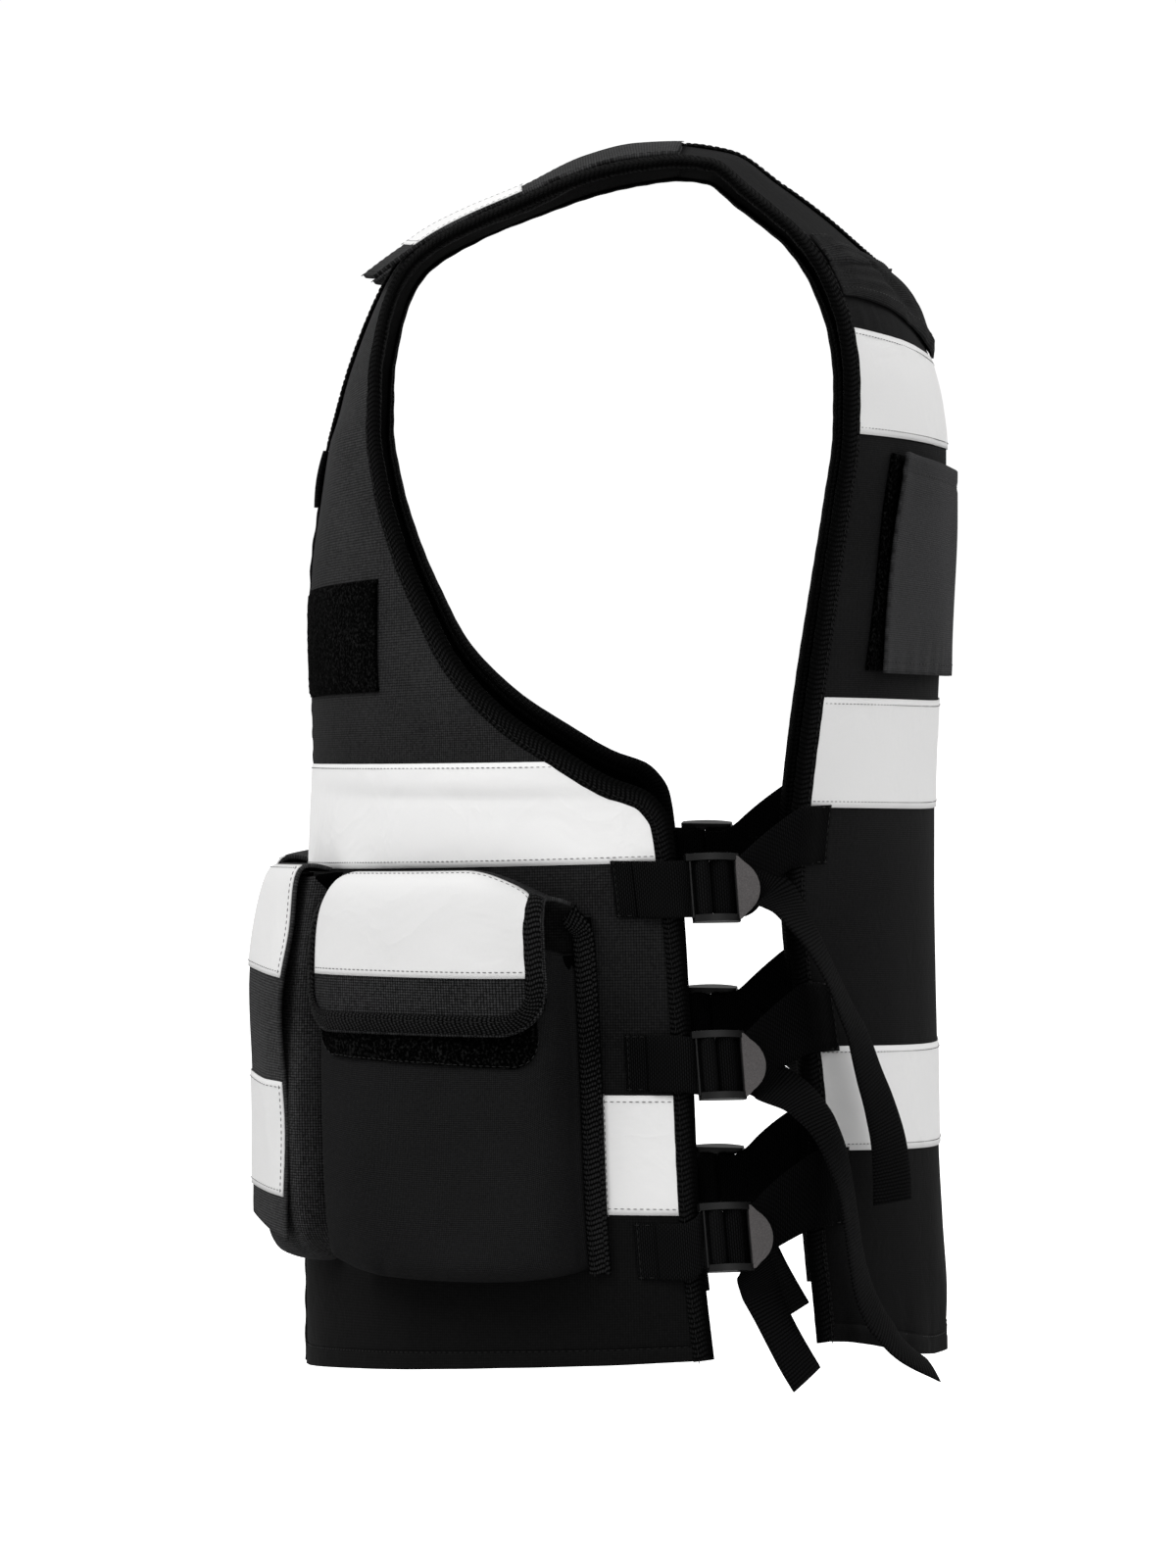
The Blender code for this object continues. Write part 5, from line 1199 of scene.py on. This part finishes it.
def makeShoulderFlaps():
    table = np.linspace(form.at("strapRoot"), form.shoulder, 300)
    depths = form.points(table, [0.5])[:, 0, 1]
    leaves, tapeBack = np.interp([shoulderFlap["leavesY"], shoulderFlap["tapeBackY"]], depths, table)

    def rowsOn(lift, first, last, columns, side):
        step = shoulderFlap["step"]
        free = np.linspace(-first, 0, max(int(first / step), 1) + 1)[:-1, None, None]
        alongs = np.concatenate([[leaves], np.linspace(leaves, last, int((last - leaves) / step) + 2)[1:]])
        columns = cadAcross(columns[None, :], alongs[:, None])
        points = raised(alongs[:, None], columns, lift, side)
        way = unit((points[0] - points[3]).mean(0))
        lead = points[0] + way * -free - level * free**2 * shoulderFlap["curl"]  # the free tip curls down
        return np.concatenate([lead, points])

    for word, side in sides:
        columns = np.linspace(shoulderFlap["edgeIn"], 1 - shoulderFlap["edgeIn"], 24)
        lift = shoulderFlap["lift"] + shoulderFlap["outer"]
        points = rowsOn(lift, shoulderFlap["tipRun"], form.shoulder - 0.0004, columns, side)
        clothGrid(f"shoulderFlap_{word}", points, side, ["panelCloth"], [f"shoulder_flap_{word}"],
                  shoulderFlap["wall"], held="laid")
        for line in (points[:, 1], points[:, -2], points[1]):
            stitchOn("thread", line)
        lift = lift + shoulderFlap["tapeLift"]
        columns = np.linspace(shoulderFlap["tapeEdgeIn"], 1 - shoulderFlap["tapeEdgeIn"], 24)
        points = rowsOn(lift, shoulderFlap["tapePast"], tapeBack, columns, side)
        clothGrid(f"shoulderTape_{word}", points, side, ["reflectiveTape"], [f"shoulder_tape_{word}"],
                  shoulderFlap["tapeWall"], held="laid")
        for line in (points[:, 1], points[:, -2], points[1]):
            stitchOn("tapeThread", line)


makeShoulderFlaps()

# chest patches, chest tab and closure
patch = {"width": 0.102, "height": 0.050, "centreX": 0.077, "centreZ": -0.2080, "lift": 0.0005, "outer": 0.0015,
         "wall": 0.0013, "selvedge": 0.0018, "selvedgeDrop": 0.0007}
closure = {"start": 0.001, "topZ": -0.127, "wall": 0.0016, "back": 0.0004, "teethPitch": 0.0021, "teeth": 0.00022,
           "teethReach": 0.0011}
# half of the closure's section in millimetres: place and rise
closureHalf = [(0, 0.45), (0.45, 0.35), (0.9, -0.1), (1.2, -0.9), (1.6, -0.9), (2.2, -0.6), (3.4, -0.55),
               (4.6, -0.7), (5.0, -0.9), (8.0, -1.6)]
chestTab = {"low": -0.1450, "top": -0.1195, "half": 0.0125, "lift": 0.0022, "bulge": 0.0012, "edgeDrop": 0.0008,
            "wall": 0.0022}


def makeChestPatches():
    centre = form.alongAt("inner", patch["centreZ"], "frontTapeTop", "armhole132")
    across = np.linspace(-0.5, 0.5, 84) * patch["width"]
    ups = np.linspace(-0.5, 0.5, 44) * patch["height"]
    rows = []
    for up in ups:
        along = centre + up
        middle = form.acrossAt(0, patch["centreX"], [along])
        rows.append(middle + across / form.width([along])[0])
    alongs = np.broadcast_to((centre + ups)[:, None], (44, 84))
    edge = np.minimum(patch["height"] / 2 - np.abs(ups)[:, None], 1.0)
    pile = ease((edge - patch["selvedge"]) / 0.0006)
    lift = patch["lift"] + patch["outer"] - patch["selvedgeDrop"] * (1 - pile)
    for word, side in sides:
        points = raised(alongs, np.array(rows), lift, side)
        ways = gridNormals(points, side)
        points = points + ways * (pileFuzz(points, pileStrip["fuzz"]) * pile)[..., None]
        clothGrid(f"chestPatch_{word}", points, side, ["loopPile"], [f"chest_patch_{word}"], patch["wall"],
                  held="laid")


def middleGrid(alongs, xs):  # rows across the middle of the front
    return form.edge("inner", alongs)[:, None, :] + xs[None, :, None] * np.array([1.0, 0, 0])


def makeClosure():
    alongs = np.linspace(closure["start"], form.alongAt("inner", closure["topZ"], "armhole132", "neckPoint"), 170)
    half = np.array(closureHalf)
    half = np.concatenate([half[::-1] * np.array([-1, 1]), half[1:]])
    xs, rise = half[:, 0] * 0.001, half[:, 1]
    points = middleGrid(alongs, xs)
    points[..., 1] -= rise[None, :] * 0.001 + closure["back"]
    teeth = np.sin(alongs * 2 * math.pi / closure["teethPitch"])[:, None] * (np.abs(xs) < closure["teethReach"])
    points[..., 1] -= teeth * closure["teeth"]
    clothGrid("frontClosure", points, 1, ["webbing"], ["front_zip"], closure["wall"])


def makeChestTab():
    heights = np.linspace(chestTab["low"], chestTab["top"], 16)
    xs = np.linspace(-chestTab["half"], chestTab["half"], 22)
    points = middleGrid(form.alongAt("inner", heights, "armhole161", "neckPoint"), xs)
    bulge = np.cos(np.linspace(-1.3, 1.3, 16))[:, None] * chestTab["bulge"]
    points[..., 1] -= chestTab["lift"] + bulge - (xs[None, :] / chestTab["half"]) ** 4 * chestTab["edgeDrop"]
    clothGrid("chestTab", points, 1, ["webbing"], ["chest_tab"], chestTab["wall"])


makeChestPatches()
makeClosure()
makeChestTab()
print("shoulders and chest made")

def halfSheet(name, points, side):  # meets its other half in the middle
    points[:, 0, 0] = 0
    return gridMesh(name, points, clothUv(points), side < 0)


# soft strip across the upper back
yoke = {"margin": 0.0015, "wall": 0.0016, "outer": 0.0016, "foldTop": 0.86, "foldLow": 0.52, "flat": 0.0034,
        "puff": 0.0040, "base": 0.0008, "pleat": 0.0005, "mouth": 0.0007, "armFold": 0.0005, "soft": 0.0009,
        "stitchPlaces": (0.05, 0.95)}


def makeYoke():
    columns = np.linspace(0, 1, 120)
    rows = np.linspace(0, 1, 40)[:, None]
    topMiddle, topArm = form.nape, (form.at("back79") + form.at("back88")) / 2
    lowMiddle, lowArm = form.at("upperTapeTop"), form.at("yoke59")
    bend = ease(columns)
    first = topMiddle + (topArm - topMiddle) * bend + yoke["margin"]
    last = lowMiddle + (lowArm - lowMiddle) * bend - yoke["margin"] * 2
    alongs = first + (last - first) * rows
    across = np.stack([cadAcross(columns, row) for row in alongs])
    past = columns - (yoke["foldTop"] + (yoke["foldLow"] - yoke["foldTop"]) * rows)  # over the fold line to the arm
    arm = ease(past / 0.05) * ease((1 - columns) / 0.10) * np.sin(np.pi * (0.12 + rows * 0.80)) ** 0.7
    puffed = ease(-past / 0.15) * (1 - 0.5 * ease((rows - 0.6) / 0.4)) * (0.18 + 0.82 * ease(rows / 0.72))
    puffed = puffed * (1 - rows * (1 - ease(columns / 0.26)))
    pleats = np.sin(past * 46 + rows * 2.5) * ease(-past / 0.05) * ease((0.42 + past) / 0.2) * ease(rows / 0.5)
    mouth = np.exp(-((1 - rows) / 0.10) ** 2) * ease(-past / 0.1) * ease((0.6 + past) / 0.3)
    lift = yoke["base"] + yoke["flat"] * arm + yoke["puff"] * puffed + yoke["pleat"] * pleats + yoke["mouth"] * mouth
    lift = lift + yoke["armFold"] * np.sin(rows * 34 - columns * 9) * arm
    meshes = []
    for word, side in sides:
        base = raised(alongs, across, 0, side)
        soft = softNoise(base, 0.016, 41) * yoke["soft"] * (arm * 0.6 + puffed)
        points = raised(alongs, across, lift + soft + yoke["outer"], side)
        lip = [points]
        for share, ahead in ((0.75, 0.0012), (0.4, 0.0022), (0.0, 0.0028)):  # its lower leaf, back to the panel
            lip.append(raised(alongs[-1:] + ahead, across[-1:], (lift + soft)[-1:] * share + yoke["outer"], side))
        points = np.concatenate(lip)
        meshes.append(halfSheet(f"yoke_{word}", points, side))
        for place in yoke["stitchPlaces"]:
            stitchOn("thread", points[int(place * 39)])
    mesh = joined("yokeLoop", meshes)
    addPiece(mesh, ["yokeCloth", "lining"], ["yoke_loop"], yoke["wall"], held="gathered",
             halves=2)


makeYoke()

# back field and its plain panel
field = {"top": -0.1245, "low": -0.2200, "half": 0.1162, "widen": 0.0200, "sag": 0.0045, "lift": 0.0034,
         "outer": 0.0018, "wall": 0.0017, "pileHalf": 0.1210, "pileEdge": 0.001, "pileLift": 0.0004,
         "pileOuter": 0.0015, "pileWall": 0.0013, "pileFuzz": 0.00020, "stand": 0.0007, "cornerStand": 0.0010,
         "ripple": 0.0005, "hem": 0.0005, "soft": 0.0009}


def fieldGrid(top, low, half, rows, columns):
    first, last = form.alongAt("inner", np.array([top, low]), "upperTapeLow", "middleTapeTop")
    alongs = np.linspace(first, last, rows)
    halves = half + field["widen"] * np.linspace(0, 1, rows)
    ends = np.array([form.acrossAt(0, wide, [along]) for wide, along in zip(halves, alongs)])
    over = np.linspace(0, 1, columns)[None, :]
    sag = field["sag"] * (1 - over**2) * (1 - np.linspace(0, 1, rows)[:, None])  # its top edge hangs in the middle
    return alongs[:, None] + sag, ends[:, None] * over


def makeField():
    edge = field["pileEdge"]
    alongs, across = fieldGrid(field["top"] - edge, field["low"] + edge, field["pileHalf"], 40, 76)
    meshes = []
    for word, side in sides:
        points = raised(alongs, across, field["pileLift"] + field["pileOuter"], side)
        points = points + gridNormals(points, side) * pileFuzz(points, field["pileFuzz"])[..., None]
        meshes.append(halfSheet(f"field_{word}", points, side))
    mesh = joined("backPile", meshes)
    addPiece(mesh, ["loopPile"], ["id_pile"], field["pileWall"], held="laid", halves=2)
    alongs, across = fieldGrid(field["top"], field["low"], field["half"], 40, 70)
    down = np.linspace(0, 1, 40)[:, None]
    over = np.linspace(0, 1, 70)[None, :]
    near = ease((over - 0.86) / 0.14)
    stand = field["stand"] * near * np.sin(down * 6.5 + 0.6) + field["cornerStand"] * near**2
    ripple = np.exp(-((down - 1) / 0.12) ** 2) * np.sin(over * 58) * field["ripple"]
    hem = np.exp(-((down - 0.075) / 0.016) ** 2) * -field["hem"]
    meshes = []
    for word, side in sides:
        base = raised(alongs, across, 0, side)
        noise = softNoise(base * np.array([1, 1, 0.6]), 0.035, 51) * field["soft"] * ease(over / 0.1)
        points = raised(alongs, across, field["lift"] + field["outer"] + stand + ripple + hem + noise, side)
        meshes.append(halfSheet(f"plate_{word}", points, side))
        for row in (3, 37):
            stitchOn("thread", points[row, :-1])
    mesh = joined("backPlainPanel", meshes)
    addPiece(mesh, ["plateCloth"], ["id_panel"], field["wall"], held="laid", halves=2)


makeField()
print("back made")

# side straps: webbing and ladder buckles
web = {"width": 0.0245, "thick": 0.0014, "tilt": 14, "barRadius": 0.0021, "frontBar": 0.0054, "backBar": 0.0138,
       "barRise": 0.0026, "barHalf": 0.0132, "onPanel": 0.0011, "onTape": 0.0028, "tapeReach": 0.0125,
       "frameLift": 0.0017, "edgeGap": ((-0.4594, -0.3848, -0.3080), (0.0009, 0.0013, 0.0043)), "frontStep": 0.0011,
       "rearStep": 0.0013, "cup": 0.0006, "loopSlack": 0.00145, "bevel": 0.0004,
       "tailRib": 0.6}  # tailRib: the share that widens the ribs on the tails
frontSpan, rearSpan = ("frontHem", "frontSideTop"), ("middleTapeLow", "backHem")
# heights of the buckle, of the front webbing and of the sewn rear end, the lengths sewn on the panels, and how much
# taller than its width the slanting rear end stands
straps = [(-0.3080, -0.3085, -0.2858, 0.0290, 0.0215, 1.04), (-0.3848, -0.3838, -0.3648, 0.0292, 0.0200, 1.24),
          (-0.4594, -0.4655, -0.4390, 0.0288, 0.0215, 1.38)]
# under the tab: the two edges of the strap, each as length and height in the buckle's frame
exits = [[(0.0235, 0.0122, 0.0228, -0.0122), (0.0275, 0.0115, 0.0258, -0.0118)],
         [(0.0235, 0.0120, 0.0228, -0.0122), (0.0275, 0.0095, 0.0255, -0.0130)],
         [(0.0215, 0.0105, 0.0172, -0.0135), (0.0275, 0.0040, 0.0152, -0.0165), (0.0305, -0.0085, 0.0137, -0.0178)]]
# the free tails: centre line and roll
tails = [
    [(0.1835, 0.0393, -0.3092, 40), (0.1875, 0.0465, -0.3147, 56), (0.1908, 0.0520, -0.3215, 65),
     (0.1925, 0.0588, -0.3308, 71), (0.1918, 0.0651, -0.3427, 75), (0.1905, 0.0685, -0.3499, 75),
     (0.1880, 0.0740, -0.3626, 72), (0.1850, 0.0787, -0.3732, 67), (0.1820, 0.0838, -0.3902, 61),
     (0.1790, 0.0880, -0.4029, 56), (0.1770, 0.0918, -0.4177, 51), (0.1755, 0.0935, -0.4326, 47),
     (0.1745, 0.0939, -0.4453, 46)],
    [(0.1832, 0.0401, -0.3922, 42), (0.1875, 0.0515, -0.3985, 52), (0.1910, 0.0592, -0.4057, 57),
     (0.1928, 0.0647, -0.4133, 62), (0.1922, 0.0693, -0.4239, 66), (0.1900, 0.0732, -0.4379, 73),
     (0.1880, 0.0757, -0.4536, 74), (0.1865, 0.0778, -0.4684, 73), (0.1840, 0.0812, -0.4833, 69),
     (0.1810, 0.0859, -0.4939, 66), (0.1780, 0.0910, -0.5011, 68), (0.1750, 0.0965, -0.5078, 72),
     (0.1705, 0.1037, -0.5138, 77), (0.1660, 0.1121, -0.5193, 81)],
    [(0.1868, 0.0363, -0.4824, 46), (0.1872, 0.0405, -0.4917, 52), (0.1872, 0.0460, -0.5027, 53),
     (0.1862, 0.0515, -0.5129, 52), (0.1852, 0.0568, -0.5218, 52)],
]
widthLines = np.array([-1, -0.985, -0.93, -0.7, -0.35, 0, 0.35, 0.7, 0.93, 0.985, 1])


def sideFrame(height):
    front = frontAlong("outer", [height])
    rear = form.alongAt("outer", np.array([height]), *rearSpan)
    start = form.edge("outer", front)[0] + form.surface(front, [1.0])[1][0, 0] * web["frameLift"]
    end = form.edge("outer", rear)[0] + form.surface(rear, [1.0])[1][0, 0] * web["frameLift"]
    back = unit((end - start) * np.array([1, 1, 0]))
    gap = np.interp(height, *web["edgeGap"])  # the buckles stand a little nearer the front edge further down
    origin = np.array([start[0], start[1], height]) + back * gap
    return origin, back, np.cross(back, level)


def framePoint(frameAxes, length, rise, height, turned=1.0):  # in the buckle's own tilted frame
    origin, back, out = frameAxes
    angle = math.radians(web["tilt"] * turned)
    lean = rise - web["barRise"]
    return (origin + out * web["barRise"] + back * length + out * (lean * math.cos(angle) - height * math.sin(angle))
            + level * (height * math.cos(angle) + lean * math.sin(angle)))


def frameRow(frameAxes, length, rise, turned=1.0):
    half = web["width"] / 2
    return np.array([framePoint(frameAxes, length, rise, -u * half, turned) for u in widthLines])


def sewnRow(height, first, last, distance, layer, tall=1.0):
    heights = height - widthLines * web["width"] / 2 * tall
    alongs = form.alongAt("outer", heights, first, last)
    width = form.width(alongs)
    across = 1 - np.maximum(distance - form.margin, 0) / width
    base, out = spots(alongs, across)
    outside = form.margin - distance
    if outside > 0:
        inward = unit(form.inset("outer", alongs, 1.0) - form.edge("outer", alongs))
        base = base - inward * outside
    over = float(ease((web["tapeReach"] - distance) / 0.003) * ease((distance + 0.004) / 0.003))
    lift = web["onPanel"] + (web["onTape"] - web["onPanel"]) * over + layer
    points = base + out * (lift + drape(base))[:, None]
    points[:, 2] = heights
    return points


def slabMesh(name, grid, thick, side, tailAt=math.inf):  # tailAt: the length at which the free tail starts
    ways = unit(np.cross(np.gradient(grid, axis=1), np.gradient(grid, axis=0)))
    half = thick / 2 * np.sqrt(np.maximum(1 - np.abs(widthLines) ** 10, 0))[None, :, None]
    ends = np.ones(len(grid))
    ends[0] = ends[-1] = 0
    half = half * ends[:, None, None]
    top, bottom = grid + ways * half, grid - ways * half
    ring = np.concatenate([top, bottom[:, ::-1][:, 1:]], axis=1)
    run = runLengths(grid[:, len(widthLines) // 2])
    run = np.minimum(run, tailAt) + np.maximum(run - tailAt, 0) * web["tailRib"]
    place = np.concatenate([widthLines, widthLines[::-1][1:]]) * web["width"] / 2
    uv = np.stack(np.broadcast_arrays(place[None, :], run[:, None]), axis=2)
    mesh = gridMesh(name, flipX(ring, side), uv, side < 0)
    weld(mesh)
    return mesh


def softRibbon(rows, step):
    flat = rounded(np.array(rows).reshape(len(rows), -1))
    middle = flat.reshape(len(flat), -1, 3).mean(1)
    lengths = runLengths(middle)
    goal = np.linspace(0, lengths[-1], int(lengths[-1] / step) + 2)
    found = np.stack([np.interp(goal, lengths, flat[:, k]) for k in range(flat.shape[1])], axis=1)
    return found.reshape(len(goal), -1, 3)


def roundBar(frameAxes, centre, first, last, count, slack):  # slack: how far the loop reaches to the front
    rows = []
    for t in np.linspace(first, last, count):
        radius = web["barRadius"] + web["thick"] / 2 + 0.0001 + slack * math.exp(-((t - 178) / 38) ** 2)
        angle = math.radians(t)
        rows.append(frameRow(frameAxes, centre + radius * math.cos(angle), web["barRise"] + radius * math.sin(angle)))
    return rows


def frontWebRows(strap):
    height, frontHeight, _, run, _, _ = strap
    axes = sideFrame(height)
    near = (height + frontHeight) / 2
    rows = [sewnRow(frontHeight, *frontSpan, d, 0) for d in (run, run - 0.008, 0.016, 0.011, 0.006)]
    rows += [sewnRow(near, *frontSpan, 0.001, 0), frameRow(axes, 0.0005, -0.0002, 0.6),
             frameRow(axes, 0.003, -0.0005)]
    rows += roundBar(axes, web["frontBar"], -90, 190, 14, 0)
    rows += [frameRow(axes, 0.0012, 0.0012), frameRow(axes, -0.0010, 0.0011, 0.6),
             sewnRow(near, *frontSpan, 0.001, 0.0015)]
    rows += [sewnRow(frontHeight, *frontSpan, d, 0.0015) for d in (0.006, 0.011, 0.0165, 0.0195)]
    return rows


def smoothTail(rows):
    rows = [rows[0] * 2 - rows[1], *rows, rows[-1] * 2 - rows[-2]]
    found = []
    for a, b, c, d in zip(rows, rows[1:], rows[2:], rows[3:]):
        for s in np.arange(5) / 5:
            bend, twist = a * 2 - b * 5 + c * 4 - d, b * 3 - a - c * 3 + d
            found.append((b * 2 + (c - a) * s + bend * s * s + twist * s**3) / 2)
    return found + [rows[-2]]


def rearStrapRows(strap, leaves, tail):
    height, _, rearHeight, _, run, tall = strap
    axes = sideFrame(height)
    origin, back, out = axes
    half = web["width"] / 2
    rows = [sewnRow(rearHeight, *rearSpan, d, 0, tall) for d in (run, 0.015, 0.0105, 0.006, 0.001)]
    sag = origin + back * 0.034 - out * 0.0035
    sag[2] = rearHeight * 0.45 + height * 0.55
    rows += [sag - level * widthLines[:, None] * half * (0.4 + tall * 0.6)]
    rows += [frameRow(axes, 0.0215, -0.0022), frameRow(axes, 0.0135, -0.0026), frameRow(axes, 0.0108, -0.0020)]
    rows += roundBar(axes, web["backBar"], 205, -10, 14, web["loopSlack"])
    rows += [frameRow(axes, 0.0178, 0.0004)]
    for length, high, otherLength, low in leaves:
        ends = [framePoint(axes, length, -0.0007, high), framePoint(axes, otherLength, -0.0007, low)]
        share = (widthLines[:, None] + 1) / 2
        rows.append(ends[0] * (1 - share) + ends[1] * share)
    sewn = len(rows)
    lead = rows[-1].mean(0)
    free = [np.append(lead, (tail[0][3] - 8) / 1000)] + [np.array([x, y, z, roll / 1000]) for x, y, z, roll in tail]
    curve = np.array(smoothTail(free))
    travel = unit(np.gradient(curve[:, :3], axis=0))
    across = unit(np.cross(travel, [1.0, 0, 0]))
    edgewise = unit(np.cross(across, travel))
    roll = np.radians(curve[:, 3] * 1000)[:, None]
    way = across * np.cos(roll) + edgewise * np.sin(roll)
    cup = (1 - widthLines**2)[:, None] * web["cup"]
    for k in range(5, len(curve)):
        normal = np.cross(way[k], travel[k])
        rows.append(curve[k, :3] + way[k] * widthLines[:, None] * half + normal * cup * min(k / 12, 1))
    return rows, sewn


def inMetres(outline):
    return [(x / 1000, y / 1000) for x, y in outline]


def plate(shape, outline, low, high, place, material=0):  # an outline made solid between two levels
    rings = [[shape.verts.new(place(*point, at)) for point in outline] for at in (low, high)]
    faces = [shape.faces.new(rings[1]), shape.faces.new(list(reversed(rings[0])))]
    count = len(outline)
    for k in range(count):
        faces.append(shape.faces.new((rings[0][k], rings[0][(k + 1) % count], rings[1][(k + 1) % count], rings[1][k])))
    for face in faces:
        face.material_index = material


def makeBuckle(name, strap, side, node):
    axes = sideFrame(strap[0])
    shape = bmesh.new()

    def flatPlace(length, rise, height):
        return Vector(flipX(framePoint(axes, length, rise, height), side))

    def facePlace(length, height, rise):
        return flatPlace(length, rise, height)

    for low, high, first, last in ((0.0119, 0.0150, -2.0, 22.2), (-0.0150, -0.0119, 0.0, 21.2)):
        bulge = [(x, 3.9 + 2.8 * math.sin(math.pi * (x - first) / (last - first)) ** 0.8)
                 for x in np.linspace(first + 0.2, last - 0.2, 15)]
        rail = [(first, 0.8), (first + 0.8, 0.6), (last - 0.8, 0.6), (last, 1.2), (last, 3.4), *bulge[::-1],
                (first, 3.4)]
        plate(shape, inMetres(rail), low, high, flatPlace)
    for first, last, bottom, top in ((-0.6, 0.5, 2.2, 4.4), (19.8, 21.2, 0.9, 3.6)):
        box = [(first, bottom), (last, bottom), (last, top - 0.5), (last - 0.5, top), (first + 0.4, top),
               (first, top - 0.4)]
        plate(shape, inMetres(box), -web["barHalf"], web["barHalf"], flatPlace)
    for centre in (web["frontBar"], web["backBar"]):
        circle = [(centre + web["barRadius"] * math.cos(t), web["barRise"] + web["barRadius"] * math.sin(t))
                  for t in np.arange(14) * math.tau / 14]
        plate(shape, circle, -web["barHalf"], web["barHalf"], flatPlace)
    half = [(20.4, 14.0), (21.6, 13.8), (22.6, 12.9), (24.2, 11.3), (26.2, 9.7), (28.2, 7.6), (29.7, 5.0), (30.5, 2.2)]
    outline = [(20.4, -14.0)] + [(x, -y) for x, y in half[1:]] + [(30.7, 0)] + half[::-1]
    plate(shape, inMetres(outline), 0.0026, 0.0046, facePlace, 1)
    if side < 0:
        bmesh.ops.reverse_faces(shape, faces=shape.faces)
    mesh = bpy.data.meshes.new(name)
    shape.to_mesh(mesh)
    shape.free()
    mesh.shade_smooth()
    piece = addPiece(mesh, ["glossPlastic", "tabPlastic"], [node])
    edge = piece.modifiers.new("softEdges", "BEVEL")
    edge.width = web["bevel"]
    edge.segments = 2
    edge.limit_method = "ANGLE"
    edge.angle_limit = math.radians(40)
    edge.harden_normals = True


def makeStraps():
    for number, (strap, leaves, tail) in enumerate(zip(straps, exits, tails), start=1):
        front = softRibbon(frontWebRows(strap), web["frontStep"])
        rows, sewn = rearStrapRows(strap, leaves, tail)
        rear = softRibbon(rows, web["rearStep"])
        tailAt = runLengths(np.array(rows).mean(1))[sewn]
        _, frontHeight, rearHeight, run, rearRun, tall = strap
        for word, side in sides:
            mesh = slabMesh(f"frontWeb_{number}_{word}", front, web["thick"], side)
            addPiece(mesh, ["webbing"], [f"front_web_{number}_{word}"])
            mesh = slabMesh(f"rearStrap_{number}_{word}", rear, web["thick"], side, tailAt)
            addPiece(mesh, ["tailWebbing"], [f"rear_strap_{number}_{word}"])
            makeBuckle(f"buckle_{number}_{word}_look", strap, side, f"buckle_{number}_{word}")
            for height, span, places, taller in (
                    (frontHeight, frontSpan, (0.0182, run - 0.0015), 1.0),
                    (rearHeight, rearSpan, (0.0115, rearRun - 0.0018), tall)):
                first, last = (sewnRow(height, *span, place, web["thick"] / 2, taller) for place in places)
                for line in (first[2:-2], last[2:-2], np.array([first[2], last[2]]), np.array([first[-3], last[-3]])):
                    stitchOn("thread", flipX(line, side))


makeStraps()
print("straps made")

# stitches
stitches = {"thread": {"pitch": 0.0032, "length": 0.0024, "radius": 0.00026, "slot": "binding"},
            "tapeThread": {"pitch": 0.0027, "length": 0.0018, "radius": 0.00022, "slot": "reflective"}}


def stitchTree(name, material):
    tree = bpy.data.node_groups.new(name, "GeometryNodeTree")
    tree.interface.new_socket("Geometry", in_out="INPUT", socket_type="NodeSocketGeometry")
    for label in ("Pitch", "Length", "Radius"):
        tree.interface.new_socket(label, in_out="INPUT", socket_type="NodeSocketFloat")
    tree.interface.new_socket("Geometry", in_out="OUTPUT", socket_type="NodeSocketGeometry")
    given = put(tree, "NodeGroupInput").outputs
    lines = put(tree, "GeometryNodeMeshToCurve", {0: given["Geometry"]}).outputs[0]
    steps = put(tree, "GeometryNodeResampleCurve", {"Curve": lines, "Length": given["Pitch"]}, mode="LENGTH").outputs[0]
    grain = put(tree, "GeometryNodeMeshUVSphere", {"Segments": 6, "Rings": 4, "Radius": 1.0}).outputs[0]
    size = put(tree, "ShaderNodeCombineXYZ", {0: given["Radius"], 1: given["Radius"],
                                             2: calc(tree, "MULTIPLY", given["Length"], 0.5)}).outputs[0]
    grain = put(tree, "GeometryNodeTransform", {"Geometry": grain, "Scale": size}).outputs[0]
    tangent = put(tree, "GeometryNodeInputTangent").outputs[0]
    turn = put(tree, "FunctionNodeAlignRotationToVector", {"Vector": tangent}, axis="Z").outputs[0]
    placed = put(tree, "GeometryNodeInstanceOnPoints", {"Points": steps, "Instance": grain, "Rotation": turn})
    solid = put(tree, "GeometryNodeRealizeInstances", {0: placed.outputs[0]}).outputs[0]
    smooth = put(tree, "GeometryNodeSetShadeSmooth", {0: solid}).outputs[0]
    final = put(tree, "GeometryNodeSetMaterial", {"Geometry": smooth, "Material": material}).outputs[0]
    tree.links.new(final, put(tree, "NodeGroupOutput").inputs[0])
    return tree


def makeStitches(kind):
    facts = stitches[kind]
    points, edges = [], []
    for run in stitchRuns[kind]:
        base = len(points)
        points += run.tolist()
        edges += [(base + k, base + k + 1) for k in range(len(run) - 1)]
    mesh = bpy.data.meshes.new(kind + "Lines")
    mesh.from_pydata(points, edges, [])
    lines = bpy.data.objects.new(kind + "Lines", mesh)
    bpy.context.scene.collection.objects.link(lines)
    tree = stitchTree(kind + "Stitches", materials[kind])
    maker = lines.modifiers.new("stitches", "NODES")
    maker.node_group = tree
    for item in tree.interface.items_tree:
        if item.in_out == "INPUT" and item.name.lower() in facts:
            maker[item.identifier] = facts[item.name.lower()]
    graph = bpy.context.evaluated_depsgraph_get()
    made = bpy.data.meshes.new_from_object(lines.evaluated_get(graph))
    bpy.data.objects.remove(lines)
    bpy.data.meshes.remove(mesh)
    made.name = kind + "Stitches"
    piece = bpy.data.objects.new(made.name, made)
    bpy.context.scene.collection.objects.link(piece)
    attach(piece, "root")
    print(kind, "stitches:", len(made.polygons), "faces")


for kind in stitches:
    makeStitches(kind)
